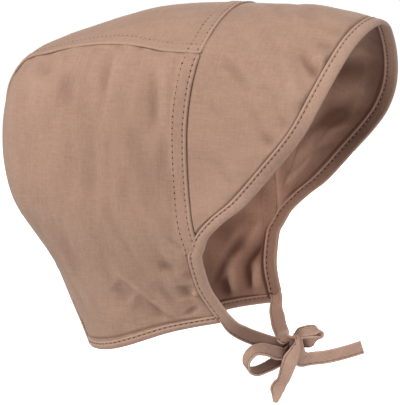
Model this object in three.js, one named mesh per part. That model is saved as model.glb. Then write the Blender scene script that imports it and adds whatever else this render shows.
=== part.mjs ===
// A baby's sun bonnet, worn: two crown sides and a centre strip, a visor sewn to their front,
// tape that binds the face edge and runs on into two ties, tape round the neck, and a bow.
//
// Millimetres, +Z up. The hat faces -Y and the wearer's right is -X. The origin is the inside
// top of the crown, where the crown of the head touches it.

import * as THREE from 'three';

// ---------------------------------------------------------------- driving dimensions

const cloth = 1.2; // one layer of cloth, turned-in edges included
const gap = 0.3; // clearance between pieces that are sewn together
const edgeSlack = gap * 0.6; // what each of two neighbouring edges stands back from their seam
const tapeSlack = gap * 3; // what the crown side stands back from the face tape
const tieSlack = gap * 5; // and what a tie does from the tape's end
const faceTape = { width: 8, thickness: 3 };
const neckTape = { width: 4.8, thickness: 2.6 };
const tie = { width: 8.4, thickness: 1.5 };
const bowTie = { width: 7.4, thickness: 1.5 }; // the same tape, drawn in by the knot
const knot = { x: 0, y: -55.5, z: -181.2, along: 4.2, up: 5.6, out: 4 };
const bowTurn = 62; // degrees that the bow is turned about the vertical, from facing forward

// The front edge of the crown side: its seam with the visor down to the ear, then the face edge
// down to the neck. half is the half-width of the hat there.
const frontEdgeTable = [
  { half: 48.5, y: -23, z: -20 },
  { half: 51, y: -21.6, z: -26.5 },
  { half: 53, y: -19.2, z: -39 },
  { half: 54, y: -17.2, z: -58 },
  { half: 53.5, y: -17, z: -79 },
  { half: 52, y: -17.6, z: -98 },
  { half: 51, y: -19.5, z: -114 },
  { half: 47, y: -23, z: -129 },
  { half: 42.2, y: -23.4, z: -140.6 },
  { half: 38.2, y: -25.5, z: -149.8 },
  { half: 34.6, y: -29.1, z: -156.8 },
  { half: 31.2, y: -32.7, z: -163.2 },
];
const earRow = 7;

// The crown's centre strip, from the visor over the top and down to the nape. half, y and z
// place its seam with the side; midY and midZ place its middle. lean says how far outward the
// side turns as it leaves that seam.
const stripTable = [
  { half: 48.5, y: -23, z: -20, midY: -24, midZ: 2.4, lean: 0.25 },
  { half: 45.5, y: 3, z: -20, midY: 4, midZ: 0.9, lean: 0.3 },
  { half: 41, y: 26, z: -18.3, midY: 28, midZ: -1.7, lean: 0.4 },
  { half: 37.5, y: 43, z: -19.4, midY: 45, midZ: -6.8, lean: 0.5 },
  { half: 33.5, y: 63, z: -22.4, midY: 66, midZ: -13.8, lean: 0.65 },
  { half: 30, y: 81, z: -27.2, midY: 84.5, midZ: -20.2, lean: 0.8 },
  { half: 25, y: 98.9, z: -33, midY: 103, midZ: -28.6, lean: 1.35 },
  { half: 22, y: 110.6, z: -46.7, midY: 114.5, midZ: -43.6, lean: 2.25 },
  { half: 21, y: 114.1, z: -67.4, midY: 118, midZ: -66, lean: 3 },
  { half: 21.2, y: 113.8, z: -87, midY: 117.8, midZ: -87, lean: 3.1 },
  { half: 22, y: 107.9, z: -106.3, midY: 111.6, midZ: -107.2, lean: 3 },
  { half: 23.2, y: 93.6, z: -125.2, midY: 97.4, midZ: -126.6, lean: 2.4 },
  { half: 24.5, y: 79.2, z: -146, midY: 83.2, midZ: -147, lean: 1.8 },
  { half: 24.5, y: 68.5, z: -167, midY: 72.5, midZ: -167.5, lean: 1.5 },
  { half: 24, y: 58.5, z: -189, midY: 62.5, midZ: -190, lean: 1.5 },
];

// The neck edge of the crown side, from the face edge back to the nape.
const neckEdgeTable = [
  { half: 31.2, y: -32.7, z: -163.2 },
  { half: 31.4, y: -24, z: -167.8 },
  { half: 33.5, y: -14.7, z: -169.6 },
  { half: 37, y: 3.5, z: -174.6 },
  { half: 40.2, y: 19, z: -180.4 },
  { half: 41.2, y: 30, z: -184.3 },
  { half: 38.5, y: 41, z: -187 },
  { half: 33, y: 50, z: -188.4 },
  { half: 24, y: 58.5, z: -189 },
];

// The visor's free edge, from the middle of the forehead down to the ear.
const visorEdgeTable = [
  { half: 0, y: -105, z: -4.6 },
  { half: 9, y: -104.3, z: -6 },
  { half: 18, y: -102.3, z: -10.2 },
  { half: 28, y: -100.1, z: -17.4 },
  { half: 38.6, y: -97, z: -29 },
  { half: 48, y: -92.2, z: -44 },
  { half: 51.8, y: -84.2, z: -60.2 },
  { half: 51.3, y: -66, z: -81.8 },
  { half: 51, y: -48, z: -101 },
  { half: 50.8, y: -30.5, z: -115 },
  { half: 47, y: -23, z: -129 },
];

const frontLean = 0.36; // how far outward the side turns as it leaves its front edge
const frontHandle = 0.36; // how firmly it holds that direction, as a share of its length
const seamHandle = 0.4; // and the direction in which it meets the strip
const visorCrown = 4.2; // how far the visor bows up between its seam and its edge

// Folds and hollows of the crown side, seen from the side: from and to are the ends of the
// crease, reach is its half-width and height is how far it stands out, or in where negative.
const sideFoldTable = [
  { fromY: 27, fromZ: -140, toY: -4, toZ: -162, reach: 7, height: 1.6 },
  { fromY: 27, fromZ: -153, toY: 10, toZ: -162, reach: 8, height: -1.8 },
  { fromY: -2, fromZ: -136, toY: -13, toZ: -156, reach: 8, height: -1.8 },
  { fromY: 3, fromZ: -32, toY: -3, toZ: -56, reach: 6, height: -1 },
];

// Routes of the two ties, from just below the ends of the face tape to the knot. x, y, z follow
// the middle of the tape and wx, wy, wz the direction of its width, front edge to back edge.
const tieRightRoute = [
  { x: -27.4, y: -31.6, z: -169.6, wx: -0.26, wy: 0.72, wz: -0.6 },
  { x: -22, y: -34.2, z: -173.2, wx: -0.34, wy: 0.5, wz: -0.78 },
  { x: -15, y: -37.6, z: -176.8, wx: -0.36, wy: 0.38, wz: -0.86 },
  { x: -8, y: -42.4, z: -180, wx: -0.3, wy: 0.2, wz: -0.92 },
  { x: -2, y: -46.6, z: -181.8, wx: -0.2, wy: 0.1, wz: -0.97 },
  { x: 2, y: -50, z: -182.2, wx: -0.1, wy: 0.1, wz: -0.99 },
];
const tieLeftRoute = [
  { x: 28.4, y: -29.4, z: -169.4, wx: -0.1, wy: 0.92, wz: -0.28 },
  { x: 22, y: -33.6, z: -172.6, wx: -0.35, wy: 0.9, wz: -0.25 },
  { x: 14.4, y: -38.4, z: -175.6, wx: -0.49, wy: 0.85, wz: -0.22 },
  { x: 8.6, y: -42.8, z: -177.6, wx: -0.52, wy: 0.8, wz: -0.22 },
  { x: 5.2, y: -46.8, z: -178.8, wx: -0.55, wy: 0.76, wz: -0.3 },
];

// The bow's tapes, from the middle of the knot: along is toward the bow's left as its wearer
// has it, up is up, out is toward its front; wa, wu, wo are the direction of the width.
const rightLoopRoute = [
  { along: -4.9, up: -5.2, out: 0.7, wa: 0.2, wu: -0.85, wo: 0.4 },
  { along: -10.5, up: -4.2, out: 4.2, wa: 0.25, wu: -0.87, wo: 0.4 },
  { along: -17.4, up: -1.4, out: 8.4, wa: 0.35, wu: -0.7, wo: 0.6 },
  { along: -23, up: -1.8, out: 11.2, wa: 0.37, wu: -0.5, wo: 0.78 },
  { along: -26.4, up: -5.8, out: 13, wa: 0.37, wu: -0.48, wo: 0.8 },
  { along: -26.2, up: -10.6, out: 12.9, wa: 0.37, wu: -0.48, wo: 0.8 },
  { along: -22.8, up: -13, out: 10.8, wa: 0.37, wu: -0.48, wo: 0.8 },
  { along: -16.8, up: -12.2, out: 6.2, wa: 0.37, wu: -0.5, wo: 0.78 },
  { along: -10.6, up: -10, out: 1.4, wa: 0.3, wu: -0.6, wo: 0.74 },
  { along: -5.4, up: -7.8, out: -1.6, wa: 0.3, wu: -0.68, wo: 0.67 },
];
const leftLoopRoute = [
  { along: 5.2, up: 6.4, out: -1.6, wa: 0, wu: 0.62, wo: -0.78 },
  { along: 7.6, up: 6.9, out: -2, wa: 0, wu: 0.62, wo: -0.78 },
  { along: 10, up: 7.1, out: -2.4, wa: -0.05, wu: 0.56, wo: -0.82 },
  { along: 12, up: 7.2, out: -2.8, wa: -0.35, wu: 0.28, wo: -0.9 },
  { along: 12.6, up: 6, out: -3.1, wa: -0.64, wu: 0.08, wo: -0.77 },
  { along: 12.4, up: 4.2, out: -3, wa: -0.76, wu: 0, wo: -0.65 },
  { along: 12, up: 2.4, out: -2.2, wa: -0.6, wu: -0.34, wo: -0.72 },
  { along: 10.4, up: 1.5, out: -0.6, wa: -0.12, wu: -0.74, wo: -0.66 },
  { along: 7.8, up: 1.1, out: 0.6, wa: 0.03, wu: -0.9, wo: -0.43 },
  { along: 5.4, up: 0.8, out: 0.6, wa: 0, wu: -0.94, wo: -0.33 },
];
const hangingEndRoute = [
  { along: 0.9, up: 2.2, out: 5.4, wa: 0.93, wu: -0.34, wo: 0 },
  { along: -0.3, up: -2.4, out: 5.4, wa: 0.93, wu: -0.36, wo: 0 },
  { along: -2.6, up: -7.2, out: 5.5, wa: 0.93, wu: -0.36, wo: 0.03 },
  { along: -4.6, up: -12.4, out: 5.4, wa: 0.94, wu: -0.32, wo: 0.06 },
  { along: -6, up: -17, out: 4.8, wa: 0.94, wu: -0.32, wo: 0.1 },
  { along: -7.4, up: -20.2, out: 4.5, wa: 0.93, wu: -0.33, wo: 0.12 },
  { along: -8.9, up: -22.2, out: 4.3, wa: 0.93, wu: -0.33, wo: 0.15 },
  { along: -9.9, up: -24.4, out: 4.2, wa: 0.93, wu: -0.3, wo: 0.2 },
  { along: -10.2, up: -27.2, out: 4.1, wa: 0.93, wu: -0.2, wo: 0.25 },
  { along: -10.6, up: -30, out: 3.9, wa: 0.93, wu: -0.1, wo: 0.3 },
  { along: -11, up: -31.6, out: 3.8, wa: 0.93, wu: -0.1, wo: 0.3 },
];
const sideEndRoute = [
  { along: 2.8, up: -9, out: 1.4, wa: -0.1, wu: 1, wo: 0 },
  { along: 9, up: -7.8, out: 1.8, wa: -0.06, wu: 1, wo: 0 },
  { along: 16, up: -7, out: 2, wa: -0.08, wu: 1, wo: 0 },
  { along: 22.6, up: -5.6, out: 1.8, wa: -0.15, wu: 1, wo: 0 },
  { along: 29.4, up: -3.8, out: 1.4, wa: -0.22, wu: 1, wo: 0 },
  { along: 36.2, up: -1.7, out: 1, wa: -0.26, wu: 1, wo: 0 },
];

// Number of steps that each surface is divided into.
const steps = {
  sideAcross: 14,
  sideDown: 24,
  stripAcross: 10,
  stripAlong: 32,
  visorAround: 44,
  visorDeep: 6,
  faceTape: 76,
  neckTape: 40,
};
const tieLead = 4; // how far a tie runs on straight from the end of the face tape
const tieSteps = 8; // the fewest along a free tape
const tieStepLength = 2.6; // the longest step along a free tape
const visorPairs = 12; // edge pairs of the face tape from the forehead to the ear,
const earPairs = 3; // round the ear,
const jawPairs = 4; // and from the ear to the neck
const neckPairs = 9; // edge pairs of the neck tape on each crown side
const cornerCut = 0.015; // share of the front edge left open where side, strip and visor meet
const creaseReach = 0.25; // share of the crown side over which its wall turns to meet the strip
const visorEndWidth = 3; // width that the visor's cloth still has at its ends, beyond the tape
const normalStep = 0.004; // step to each side when a surface's normal is measured
const curveSteps = 400; // steps in which a curve's length is measured
const halvings = 20; // of an interval that is searched

// ---------------------------------------------------------------- curves and surfaces
// These describe the wearer's left half. The right half is its mirror image.

const vector = (row) => new THREE.Vector3(row.half, row.y, row.z);
const lerp = THREE.MathUtils.lerp;
const clamp = THREE.MathUtils.clamp;
const outward = new THREE.Vector3(1, 0, 0);

function smoothCurve(points) {
  const curve = new THREE.CatmullRomCurve3(points, false, 'centripetal');
  curve.arcLengthDivisions = curveSteps;
  return curve;
}

const mirrored = (point) => new THREE.Vector3(-point.x, point.y, point.z);

// Half of a curve that is the same on both sides, given from its middle outward.
function halfCurve(points) {
  const whole = smoothCurve([...points.slice(1).map(mirrored).reverse(), ...points]);
  return {
    getPointAt: (share) => whole.getPointAt(0.5 + share / 2),
    getLength: () => whole.getLength() / 2,
  };
}

// The fraction of a curve's length at which each of its own points lies.
function fractionsOfPoints(curve, count) {
  const lengths = curve.getLengths(curveSteps);
  const total = lengths[curveSteps];
  return Array.from({ length: count }, (_, k) => {
    const place = (curveSteps * k) / (count - 1);
    const whole = Math.min(Math.floor(place), curveSteps - 1);
    return lerp(lengths[whole], lengths[whole + 1], place - whole) / total;
  });
}

// A value given at each fraction, read between them.
function readBetween(fractions, values, at) {
  const last = fractions.length - 1;
  if (at <= fractions[0]) return values[0];
  for (let k = 0; k < last; k++) {
    if (at <= fractions[k + 1]) {
      const share = (at - fractions[k]) / (fractions[k + 1] - fractions[k]);
      return lerp(values[k], values[k + 1], share);
    }
  }
  return values[last];
}

const frontEdge = smoothCurve(frontEdgeTable.map(vector));
const stripSeam = smoothCurve(stripTable.map(vector));
const stripMiddle = smoothCurve(stripTable.map((r) => new THREE.Vector3(0, r.midY, r.midZ)));
const neckEdge = smoothCurve(neckEdgeTable.map(vector));
const visorEdge = halfCurve(visorEdgeTable.map(vector));
const seamFractions = fractionsOfPoints(stripSeam, stripTable.length);
const middleFractions = fractionsOfPoints(stripMiddle, stripTable.length);
const frontFractions = fractionsOfPoints(frontEdge, frontEdgeTable.length);
const earFraction = frontFractions[earRow];

// The centre strip: along is 0 at the visor and 1 at the nape, across is -1 to 1 from seam to
// seam.
function stripPoint(along, across) {
  const seam = stripSeam.getPointAt(along);
  const middle = stripMiddle.getPointAt(readBetween(seamFractions, middleFractions, along));
  const bow = across * across;
  return new THREE.Vector3(
    seam.x * across,
    lerp(middle.y, seam.y, bow),
    lerp(middle.z, seam.z, bow),
  );
}

// The crown side: down is 0 at the top front corner and 1 at the neck, back is 0 at the front
// edge and 1 at the strip. Each line from front to back is a cubic that leaves both edges
// leaning outward.
function sideLine(back, down) {
  const front = frontEdge.getPointAt(down);
  const seam = stripSeam.getPointAt(down);
  const chord = seam.clone().sub(front);
  const length = chord.length();
  const lean = readBetween(seamFractions, stripTable.map((r) => r.lean), down);
  const frontWay = chord.clone().normalize().addScaledVector(outward, frontLean).normalize();
  const seamWay = chord.clone().normalize().negate().addScaledVector(outward, lean).normalize();
  const line = new THREE.CubicBezierCurve3(
    front,
    front.clone().addScaledVector(frontWay, frontHandle * length),
    seam.clone().addScaledVector(seamWay, seamHandle * length),
    seam,
  );
  return line.getPoint(back);
}

function foldHeight(y, z) {
  let height = 0;
  for (const fold of sideFoldTable) {
    const runY = fold.toY - fold.fromY;
    const runZ = fold.toZ - fold.fromZ;
    const along = ((y - fold.fromY) * runY + (z - fold.fromZ) * runZ) / (runY * runY + runZ * runZ);
    const nearest = clamp(along, 0, 1);
    const away = Math.hypot(y - fold.fromY - nearest * runY, z - fold.fromZ - nearest * runZ);
    height += fold.height * Math.exp(-((away / fold.reach) ** 2));
  }
  return height;
}

function sidePoint(back, down) {
  const point = sideLine(back, down);
  const toNeckEdge = neckEdge.getPointAt(back).sub(sideLine(back, 1));
  point.addScaledVector(toNeckEdge, down ** 4);
  const inside = clamp(6 * back * (1 - back), 0, 1) * clamp(12 * down * (1 - down), 0, 1);
  return point.addScaledVector(outward, foldHeight(point.y, point.z) * inside);
}

// The visor: around is 0 at the middle of the forehead and 1 at the ear, deep is 0 at the seam
// and 1 at the free edge.
const visorSeam = halfCurve([
  ...[0, 0.25, 0.5, 0.75].map((across) => stripPoint(0, across)),
  ...frontEdgeTable.slice(0, earRow + 1).map(vector),
]);

function visorPoint(around, deep) {
  const seam = visorSeam.getPointAt(around);
  const edge = visorEdge.getPointAt(around);
  const crown = visorCrown * Math.cos((Math.PI / 2) * around) ** 2 * Math.sin(Math.PI * deep ** 1.3);
  return seam.lerp(edge, deep).add(new THREE.Vector3(0, 0, crown));
}

// The outward normal of a surface, from points close on both sides.
function normalOf(surface, u, v) {
  const u0 = Math.max(u - normalStep, 0);
  const v0 = Math.max(v - normalStep, surface.vFrom);
  const alongU = surface.at(Math.min(u + normalStep, 1), v).sub(surface.at(u0, v));
  const alongV = surface.at(u, Math.min(v + normalStep, 1)).sub(surface.at(u, v0));
  return alongV.cross(alongU).normalize();
}

const strip = { at: stripPoint, vFrom: -1 };
const side = { at: sidePoint, vFrom: 0 };
const visor = { at: visorPoint, vFrom: 0 };

// The share of the way from one end of a line to the other at which it has run a distance.
function shareAt(pointAt, distance) {
  const start = pointAt(0);
  let low = 0;
  let high = 1;
  for (let halving = 0; halving < halvings; halving++) {
    const middle = (low + high) / 2;
    if (pointAt(middle).distanceTo(start) < distance) low = middle;
    else high = middle;
  }
  return (low + high) / 2;
}

// ---------------------------------------------------------------- closed solids

// A closed mesh from rows of points, with faces for each four of them, then turned to face out.
function closedMesh(points, faces) {
  const geometry = new THREE.BufferGeometry().setFromPoints(points);
  let volume = 0;
  for (const [a, b, c] of faces) volume += points[a].dot(points[b].clone().cross(points[c]));
  geometry.setIndex((volume < 0 ? faces.map(([a, b, c]) => [a, c, b]) : faces).flat());
  geometry.computeVertexNormals();
  return geometry;
}

// A wall of cloth: outer[row][column] are its outer points and inner[row][column] its inner ones.
function wall(outer, inner) {
  const rows = outer.length;
  const columns = outer[0].length;
  const points = [...outer.flat(), ...inner.flat()];
  const faces = [];
  const quad = (a, b, c, d) => faces.push([a, b, c], [a, c, d]);
  const place = (row, column) => row * columns + column;
  const under = (row, column) => rows * columns + place(row, column);
  for (let r = 0; r < rows - 1; r++) {
    for (let c = 0; c < columns - 1; c++) {
      quad(place(r, c), place(r, c + 1), place(r + 1, c + 1), place(r + 1, c));
      quad(under(r, c), under(r + 1, c), under(r + 1, c + 1), under(r, c + 1));
    }
  }
  for (let c = 0; c < columns - 1; c++) {
    quad(place(0, c), under(0, c), under(0, c + 1), place(0, c + 1));
    quad(place(rows - 1, c), place(rows - 1, c + 1), under(rows - 1, c + 1), under(rows - 1, c));
  }
  for (let r = 0; r < rows - 1; r++) {
    quad(place(r, 0), place(r + 1, 0), under(r + 1, 0), under(r, 0));
    quad(
      place(r, columns - 1),
      under(r, columns - 1),
      under(r + 1, columns - 1),
      place(r + 1, columns - 1),
    );
  }
  return closedMesh(points, faces);
}

// A solid through rings of points that all have the same number of corners.
function lofted(rings) {
  const corners = rings[0].length;
  const points = rings.flat();
  const faces = [];
  for (let r = 0; r < rings.length - 1; r++) {
    for (let k = 0; k < corners; k++) {
      const next = (k + 1) % corners;
      const a = r * corners;
      const b = a + corners;
      faces.push([a + k, a + next, b + next], [a + k, b + next, b + k]);
    }
  }
  const last = (rings.length - 1) * corners;
  for (let k = 1; k < corners - 1; k++) {
    faces.push([0, k + 1, k], [last, last + k, last + k + 1]);
  }
  return closedMesh(points, faces);
}

// The section of a flat tape with rounded edges, about its middle.
function tapeRing(middle, across, facing, width, thickness) {
  const corners = [
    [-0.5, 0.22],
    [-0.42, 0.5],
    [0.42, 0.5],
    [0.5, 0.22],
    [0.5, -0.22],
    [0.42, -0.5],
    [-0.42, -0.5],
    [-0.5, -0.22],
  ];
  return corners.map(([sideways, up]) =>
    middle
      .clone()
      .addScaledVector(across, sideways * width)
      .addScaledVector(facing, up * thickness),
  );
}

// A binding tape through pairs of an outer and an inner edge point with the cloth's normal. The
// pairs lie on the cloth's outer face, and the tape is centred on the cloth.
function bindingTape(pairs, size, count) {
  const outerLine = smoothCurve(pairs.map((pair) => pair.outer));
  const innerLine = smoothCurve(pairs.map((pair) => pair.inner));
  const normals = smoothCurve(pairs.map((pair) => pair.normal));
  const rings = [];
  for (let k = 0; k <= count; k++) {
    const outer = outerLine.getPoint(k / count);
    const across = innerLine.getPoint(k / count).sub(outer);
    const middle = outer.clone().addScaledVector(across, 0.5);
    across.normalize();
    const facing = normals.getPoint(k / count);
    facing.addScaledVector(across, -facing.dot(across)).normalize();
    middle.addScaledVector(facing, -cloth / 2);
    rings.push(tapeRing(middle, across, facing, size.width, size.thickness));
  }
  return lofted(rings);
}

// A free tape along a route whose points carry the direction of the tape's width.
function freeTape(places, widths, size) {
  const route = smoothCurve(places);
  const turns = smoothCurve(widths);
  const count = Math.max(tieSteps, Math.ceil(route.getLength() / tieStepLength));
  const rings = [];
  for (let k = 0; k <= count; k++) {
    const along = route.getTangent(k / count);
    const across = turns.getPoint(k / count);
    across.addScaledVector(along, -across.dot(along)).normalize();
    const facing = along.clone().cross(across);
    rings.push(tapeRing(route.getPoint(k / count), across, facing, size.width, size.thickness));
  }
  return lofted(rings);
}

// ---------------------------------------------------------------- crown and visor

const inwardTo = (point, normal, distance) => point.clone().addScaledVector(normal, -distance);

// Where two walls meet at a crease, both turn in along the plane that halves it.
function creaseInward(down) {
  const onSide = normalOf(side, 1, down);
  const onStrip = normalOf(strip, down, 1);
  const halved = onSide.clone().add(onStrip).normalize();
  return { halved, depth: cloth / halved.dot(onSide) };
}

// The inner point below an outer one, turning toward the crease near it. near is 1 at the seam.
function innerPoint(outer, normal, down, near) {
  const plain = inwardTo(outer, normal, cloth);
  if (near <= 0) return plain;
  const { halved, depth } = creaseInward(down);
  return plain.lerp(inwardTo(outer, halved, depth), THREE.MathUtils.smoothstep(near, 0, 1));
}

function crownSide() {
  const outer = [];
  const inner = [];
  const across = Array.from({ length: steps.sideAcross + 1 }, (_, k) => k / steps.sideAcross);
  const lowest = across.map((back) => 1 - shareAt((s) => sidePoint(back, 1 - s), neckTape.width + gap));
  for (let r = 0; r <= steps.sideDown; r++) {
    const outerRow = [];
    const innerRow = [];
    across.forEach((share, c) => {
      const down = lerp(cornerCut, lowest[c], r / steps.sideDown);
      const first = shareAt((s) => sidePoint(s, down), tapeReachAt(down) + tapeSlack);
      const last = 1 - shareAt((s) => sidePoint(1 - s, down), edgeSlack);
      const back = lerp(first, last, share);
      const point = sidePoint(back, down);
      const near = (share - 1 + creaseReach) / creaseReach;
      outerRow.push(point);
      innerRow.push(innerPoint(point, normalOf(side, back, down), down, near));
    });
    outer.push(outerRow);
    inner.push(innerRow);
  }
  return { outer, inner };
}

function crownStrip() {
  const outer = [];
  const inner = [];
  const first = shareAt((s) => stripPoint(s, 0), gap);
  const last = 1 - shareAt((s) => stripPoint(1 - s, 0), neckTape.width + gap);
  for (let r = 0; r <= steps.stripAlong; r++) {
    const along = lerp(first, last, r / steps.stripAlong);
    const edge = 1 - edgeSlack / stripSeam.getPointAt(along).x;
    const outerRow = [];
    const innerRow = [];
    for (let c = 0; c <= steps.stripAcross; c++) {
      const share = (2 * c) / steps.stripAcross - 1;
      const point = stripPoint(along, share * edge);
      const near = (Math.abs(share) - 1 + 2 * creaseReach) / (2 * creaseReach);
      const folded = share < 0 ? mirrored(point) : point;
      const normal = normalOf(strip, along, Math.abs(share * edge));
      const under = innerPoint(folded, normal, along, near);
      outerRow.push(point);
      innerRow.push(share < 0 ? mirrored(under) : under);
    }
    outer.push(outerRow);
    inner.push(innerRow);
  }
  return wall(outer, inner);
}

// How far round the visor it is still wider than a distance.
function visorEndAt(width) {
  let low = 0.5;
  let high = 1;
  for (let halving = 0; halving < halvings; halving++) {
    const middle = (low + high) / 2;
    if (visorPoint(middle, 0).distanceTo(visorPoint(middle, 1)) > width) low = middle;
    else high = middle;
  }
  return low;
}

const tapeCrossing = visorEndAt(faceTape.width);
const visorSideLength = visorSeam.getLength() * (1 - tapeCrossing);
const crossingFraction = earFraction - visorSideLength / frontEdge.getLength();

// How far back from the front edge the face tape covers the crown side.
function tapeReachAt(down) {
  const share = (down - crossingFraction) / (earFraction - crossingFraction);
  return faceTape.width * clamp(share, 0, 1);
}

function visorWall() {
  const outer = [];
  const inner = [];
  const end = visorEndAt(faceTape.width + visorEndWidth);
  for (let r = 0; r <= steps.visorAround; r++) {
    const share = (2 * r) / steps.visorAround - 1;
    const around = Math.abs(share) * end;
    const first = shareAt((s) => visorPoint(around, s), gap);
    const last = 1 - shareAt((s) => visorPoint(around, 1 - s), faceTape.width + gap);
    const outerRow = [];
    const innerRow = [];
    for (let c = 0; c <= steps.visorDeep; c++) {
      const deep = lerp(first, last, c / steps.visorDeep);
      const point = visorPoint(around, deep);
      const under = inwardTo(point, normalOf(visor, around, deep), cloth);
      outerRow.push(share < 0 ? mirrored(point) : point);
      innerRow.push(share < 0 ? mirrored(under) : under);
    }
    outer.push(outerRow);
    inner.push(innerRow);
  }
  return wall(outer, inner);
}

// ---------------------------------------------------------------- binding tapes

// Edge pairs of the face tape on one half, from the middle of the forehead to the neck.
function faceTapePairs() {
  const pairs = [];
  for (let k = 0; k <= visorPairs; k++) {
    const around = (tapeCrossing * k) / visorPairs;
    const deep = 1 - shareAt((s) => visorPoint(around, 1 - s), faceTape.width);
    const normal = normalOf(visor, around, Math.max(deep, 0.5));
    pairs.push({ outer: visorPoint(around, 1), inner: visorPoint(around, deep), normal });
  }
  for (let k = 1; k <= earPairs + jawPairs; k++) {
    const past = clamp(k / earPairs, 0, 1);
    const down =
      k <= earPairs
        ? lerp(crossingFraction, earFraction, past)
        : lerp(earFraction, 1, (k - earPairs) / jawPairs);
    const outer =
      k <= earPairs
        ? visorEdge.getPointAt(lerp(tapeCrossing, 1, past))
        : frontEdge.getPointAt(down);
    const back = shareAt((s) => sidePoint(s, down), tapeReachAt(down));
    pairs.push({ outer, inner: sidePoint(back, down), normal: normalOf(side, back, down) });
  }
  return pairs;
}

// The same pairs on the other half.
const mirroredPair = ({ outer, inner, normal }) => ({
  outer: mirrored(outer),
  inner: mirrored(inner),
  normal: mirrored(normal),
});

function faceBinding() {
  const left = faceTapePairs();
  const right = left.slice(1).map(mirroredPair).reverse();
  return bindingTape([...right, ...left], faceTape, steps.faceTape);
}

function neckBinding() {
  const start = shareAt((s) => sidePoint(s, 1), faceTape.width + gap);
  const left = [];
  for (let k = 0; k <= neckPairs; k++) {
    const back = lerp(start, 1, k / neckPairs);
    const down = 1 - shareAt((s) => sidePoint(back, 1 - s), neckTape.width);
    left.push({
      outer: sidePoint(back, 1),
      inner: sidePoint(back, down),
      normal: normalOf(side, Math.min(back, 0.97), down),
    });
  }
  const high = 1 - shareAt((s) => stripPoint(1 - s, 0), neckTape.width);
  const nape = [0.6, 0, -0.6].map((across) => ({
    outer: stripPoint(1, across),
    inner: stripPoint(high, across),
    normal: across < 0 ? mirrored(normalOf(strip, high, -across)) : normalOf(strip, high, across),
  }));
  const right = left.map(mirroredPair).reverse();
  return bindingTape([...left, ...nape, ...right], neckTape, steps.neckTape);
}

// ---------------------------------------------------------------- ties and bow

// The middle of the face tape's lower end on the left, and the directions that it has there.
function tapeEnd() {
  const { outer, inner, normal } = faceTapePairs().at(-1);
  const across = inner.clone().sub(outer).normalize();
  const facing = normal.clone().addScaledVector(across, -normal.dot(across)).normalize();
  const middle = outer.clone().addScaledVector(across, faceTape.width / 2);
  middle.addScaledVector(facing, -cloth / 2);
  return { middle, across, along: across.clone().cross(facing) };
}

// A tie leaves the face tape straight and then follows its route. place is mirrored for the
// right tie.
function tieAlong(route, place) {
  const { middle, across, along } = tapeEnd();
  const starts = [tieSlack, tieLead].map((run) => place(middle.clone().addScaledVector(along, run)));
  return freeTape(
    [...starts, ...route.map((r) => new THREE.Vector3(r.x, r.y, r.z))],
    [place(across), place(across), ...route.map((r) => new THREE.Vector3(r.wx, r.wy, r.wz))],
    tie,
  );
}
const asDrawn = (point) => point;

// From the bow's own directions to the hat's.
function bowDirection(along, up, out) {
  const turn = THREE.MathUtils.degToRad(bowTurn);
  return new THREE.Vector3(
    along * Math.cos(turn) - out * Math.sin(turn),
    -along * Math.sin(turn) - out * Math.cos(turn),
    up,
  );
}

function bowTape(route) {
  const middle = new THREE.Vector3(knot.x, knot.y, knot.z);
  return freeTape(
    route.map((r) => bowDirection(r.along, r.up, r.out).add(middle)),
    route.map((r) => bowDirection(r.wa, r.wu, r.wo)),
    bowTie,
  );
}

function bowKnot() {
  const ball = new THREE.SphereGeometry(1, 16, 10);
  ball.scale(knot.along, knot.out, knot.up);
  return ball;
}

// ---------------------------------------------------------------- the hat

const colours = { cloth: 0xb49078, tape: 0xc2a08c };

function piece(name, geometry, colour) {
  const finish = new THREE.MeshStandardMaterial({ color: colour, roughness: 0.9, metalness: 0 });
  const mesh = new THREE.Mesh(geometry, finish);
  mesh.name = name;
  return mesh;
}

const hat = new THREE.Group();
const { outer, inner } = crownSide();
const mirroredRows = (rows) => rows.map((row) => row.map(mirrored));
hat.add(
  piece('side_panel_right', wall(mirroredRows(outer), mirroredRows(inner)), colours.cloth),
  piece('side_panel_left', wall(outer, inner), colours.cloth),
  piece('crown_strip', crownStrip(), colours.cloth),
  piece('brim', visorWall(), colours.cloth),
  piece('face_binding', faceBinding(), colours.tape),
  piece('neck_binding', neckBinding(), colours.tape),
  piece('tie_right', tieAlong(tieRightRoute, mirrored), colours.tape),
  piece('tie_left', tieAlong(tieLeftRoute, asDrawn), colours.tape),
  piece('bow_loop_right', bowTape(rightLoopRoute), colours.tape),
  piece('bow_loop_left', bowTape(leftLoopRoute), colours.tape),
  piece('tie_end_down', bowTape(hangingEndRoute), colours.tape),
  piece('tie_end_side', bowTape(sideEndRoute), colours.tape),
);

const bowMiddle = piece('bow_knot', bowKnot(), colours.tape);
bowMiddle.position.set(knot.x, knot.y, knot.z);
bowMiddle.rotation.z = THREE.MathUtils.degToRad(-bowTurn);
hat.add(bowMiddle);

export default hat;
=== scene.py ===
import math

import bpy
import numpy as np
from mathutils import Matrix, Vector


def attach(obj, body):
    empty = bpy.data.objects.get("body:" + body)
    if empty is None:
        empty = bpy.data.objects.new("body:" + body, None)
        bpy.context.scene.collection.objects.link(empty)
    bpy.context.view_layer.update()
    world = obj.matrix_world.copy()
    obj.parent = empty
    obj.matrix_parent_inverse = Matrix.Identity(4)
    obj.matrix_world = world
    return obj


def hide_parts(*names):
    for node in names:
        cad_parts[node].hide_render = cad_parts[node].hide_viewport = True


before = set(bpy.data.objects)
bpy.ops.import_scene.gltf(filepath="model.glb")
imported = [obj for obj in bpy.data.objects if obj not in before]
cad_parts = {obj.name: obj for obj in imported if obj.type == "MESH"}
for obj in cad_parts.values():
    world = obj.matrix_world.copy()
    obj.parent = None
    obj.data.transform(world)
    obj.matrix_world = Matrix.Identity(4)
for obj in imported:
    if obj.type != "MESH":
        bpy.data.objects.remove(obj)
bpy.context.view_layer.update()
mm = 0.001  # the tables below are in millimetres, and every mesh is in metres

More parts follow.
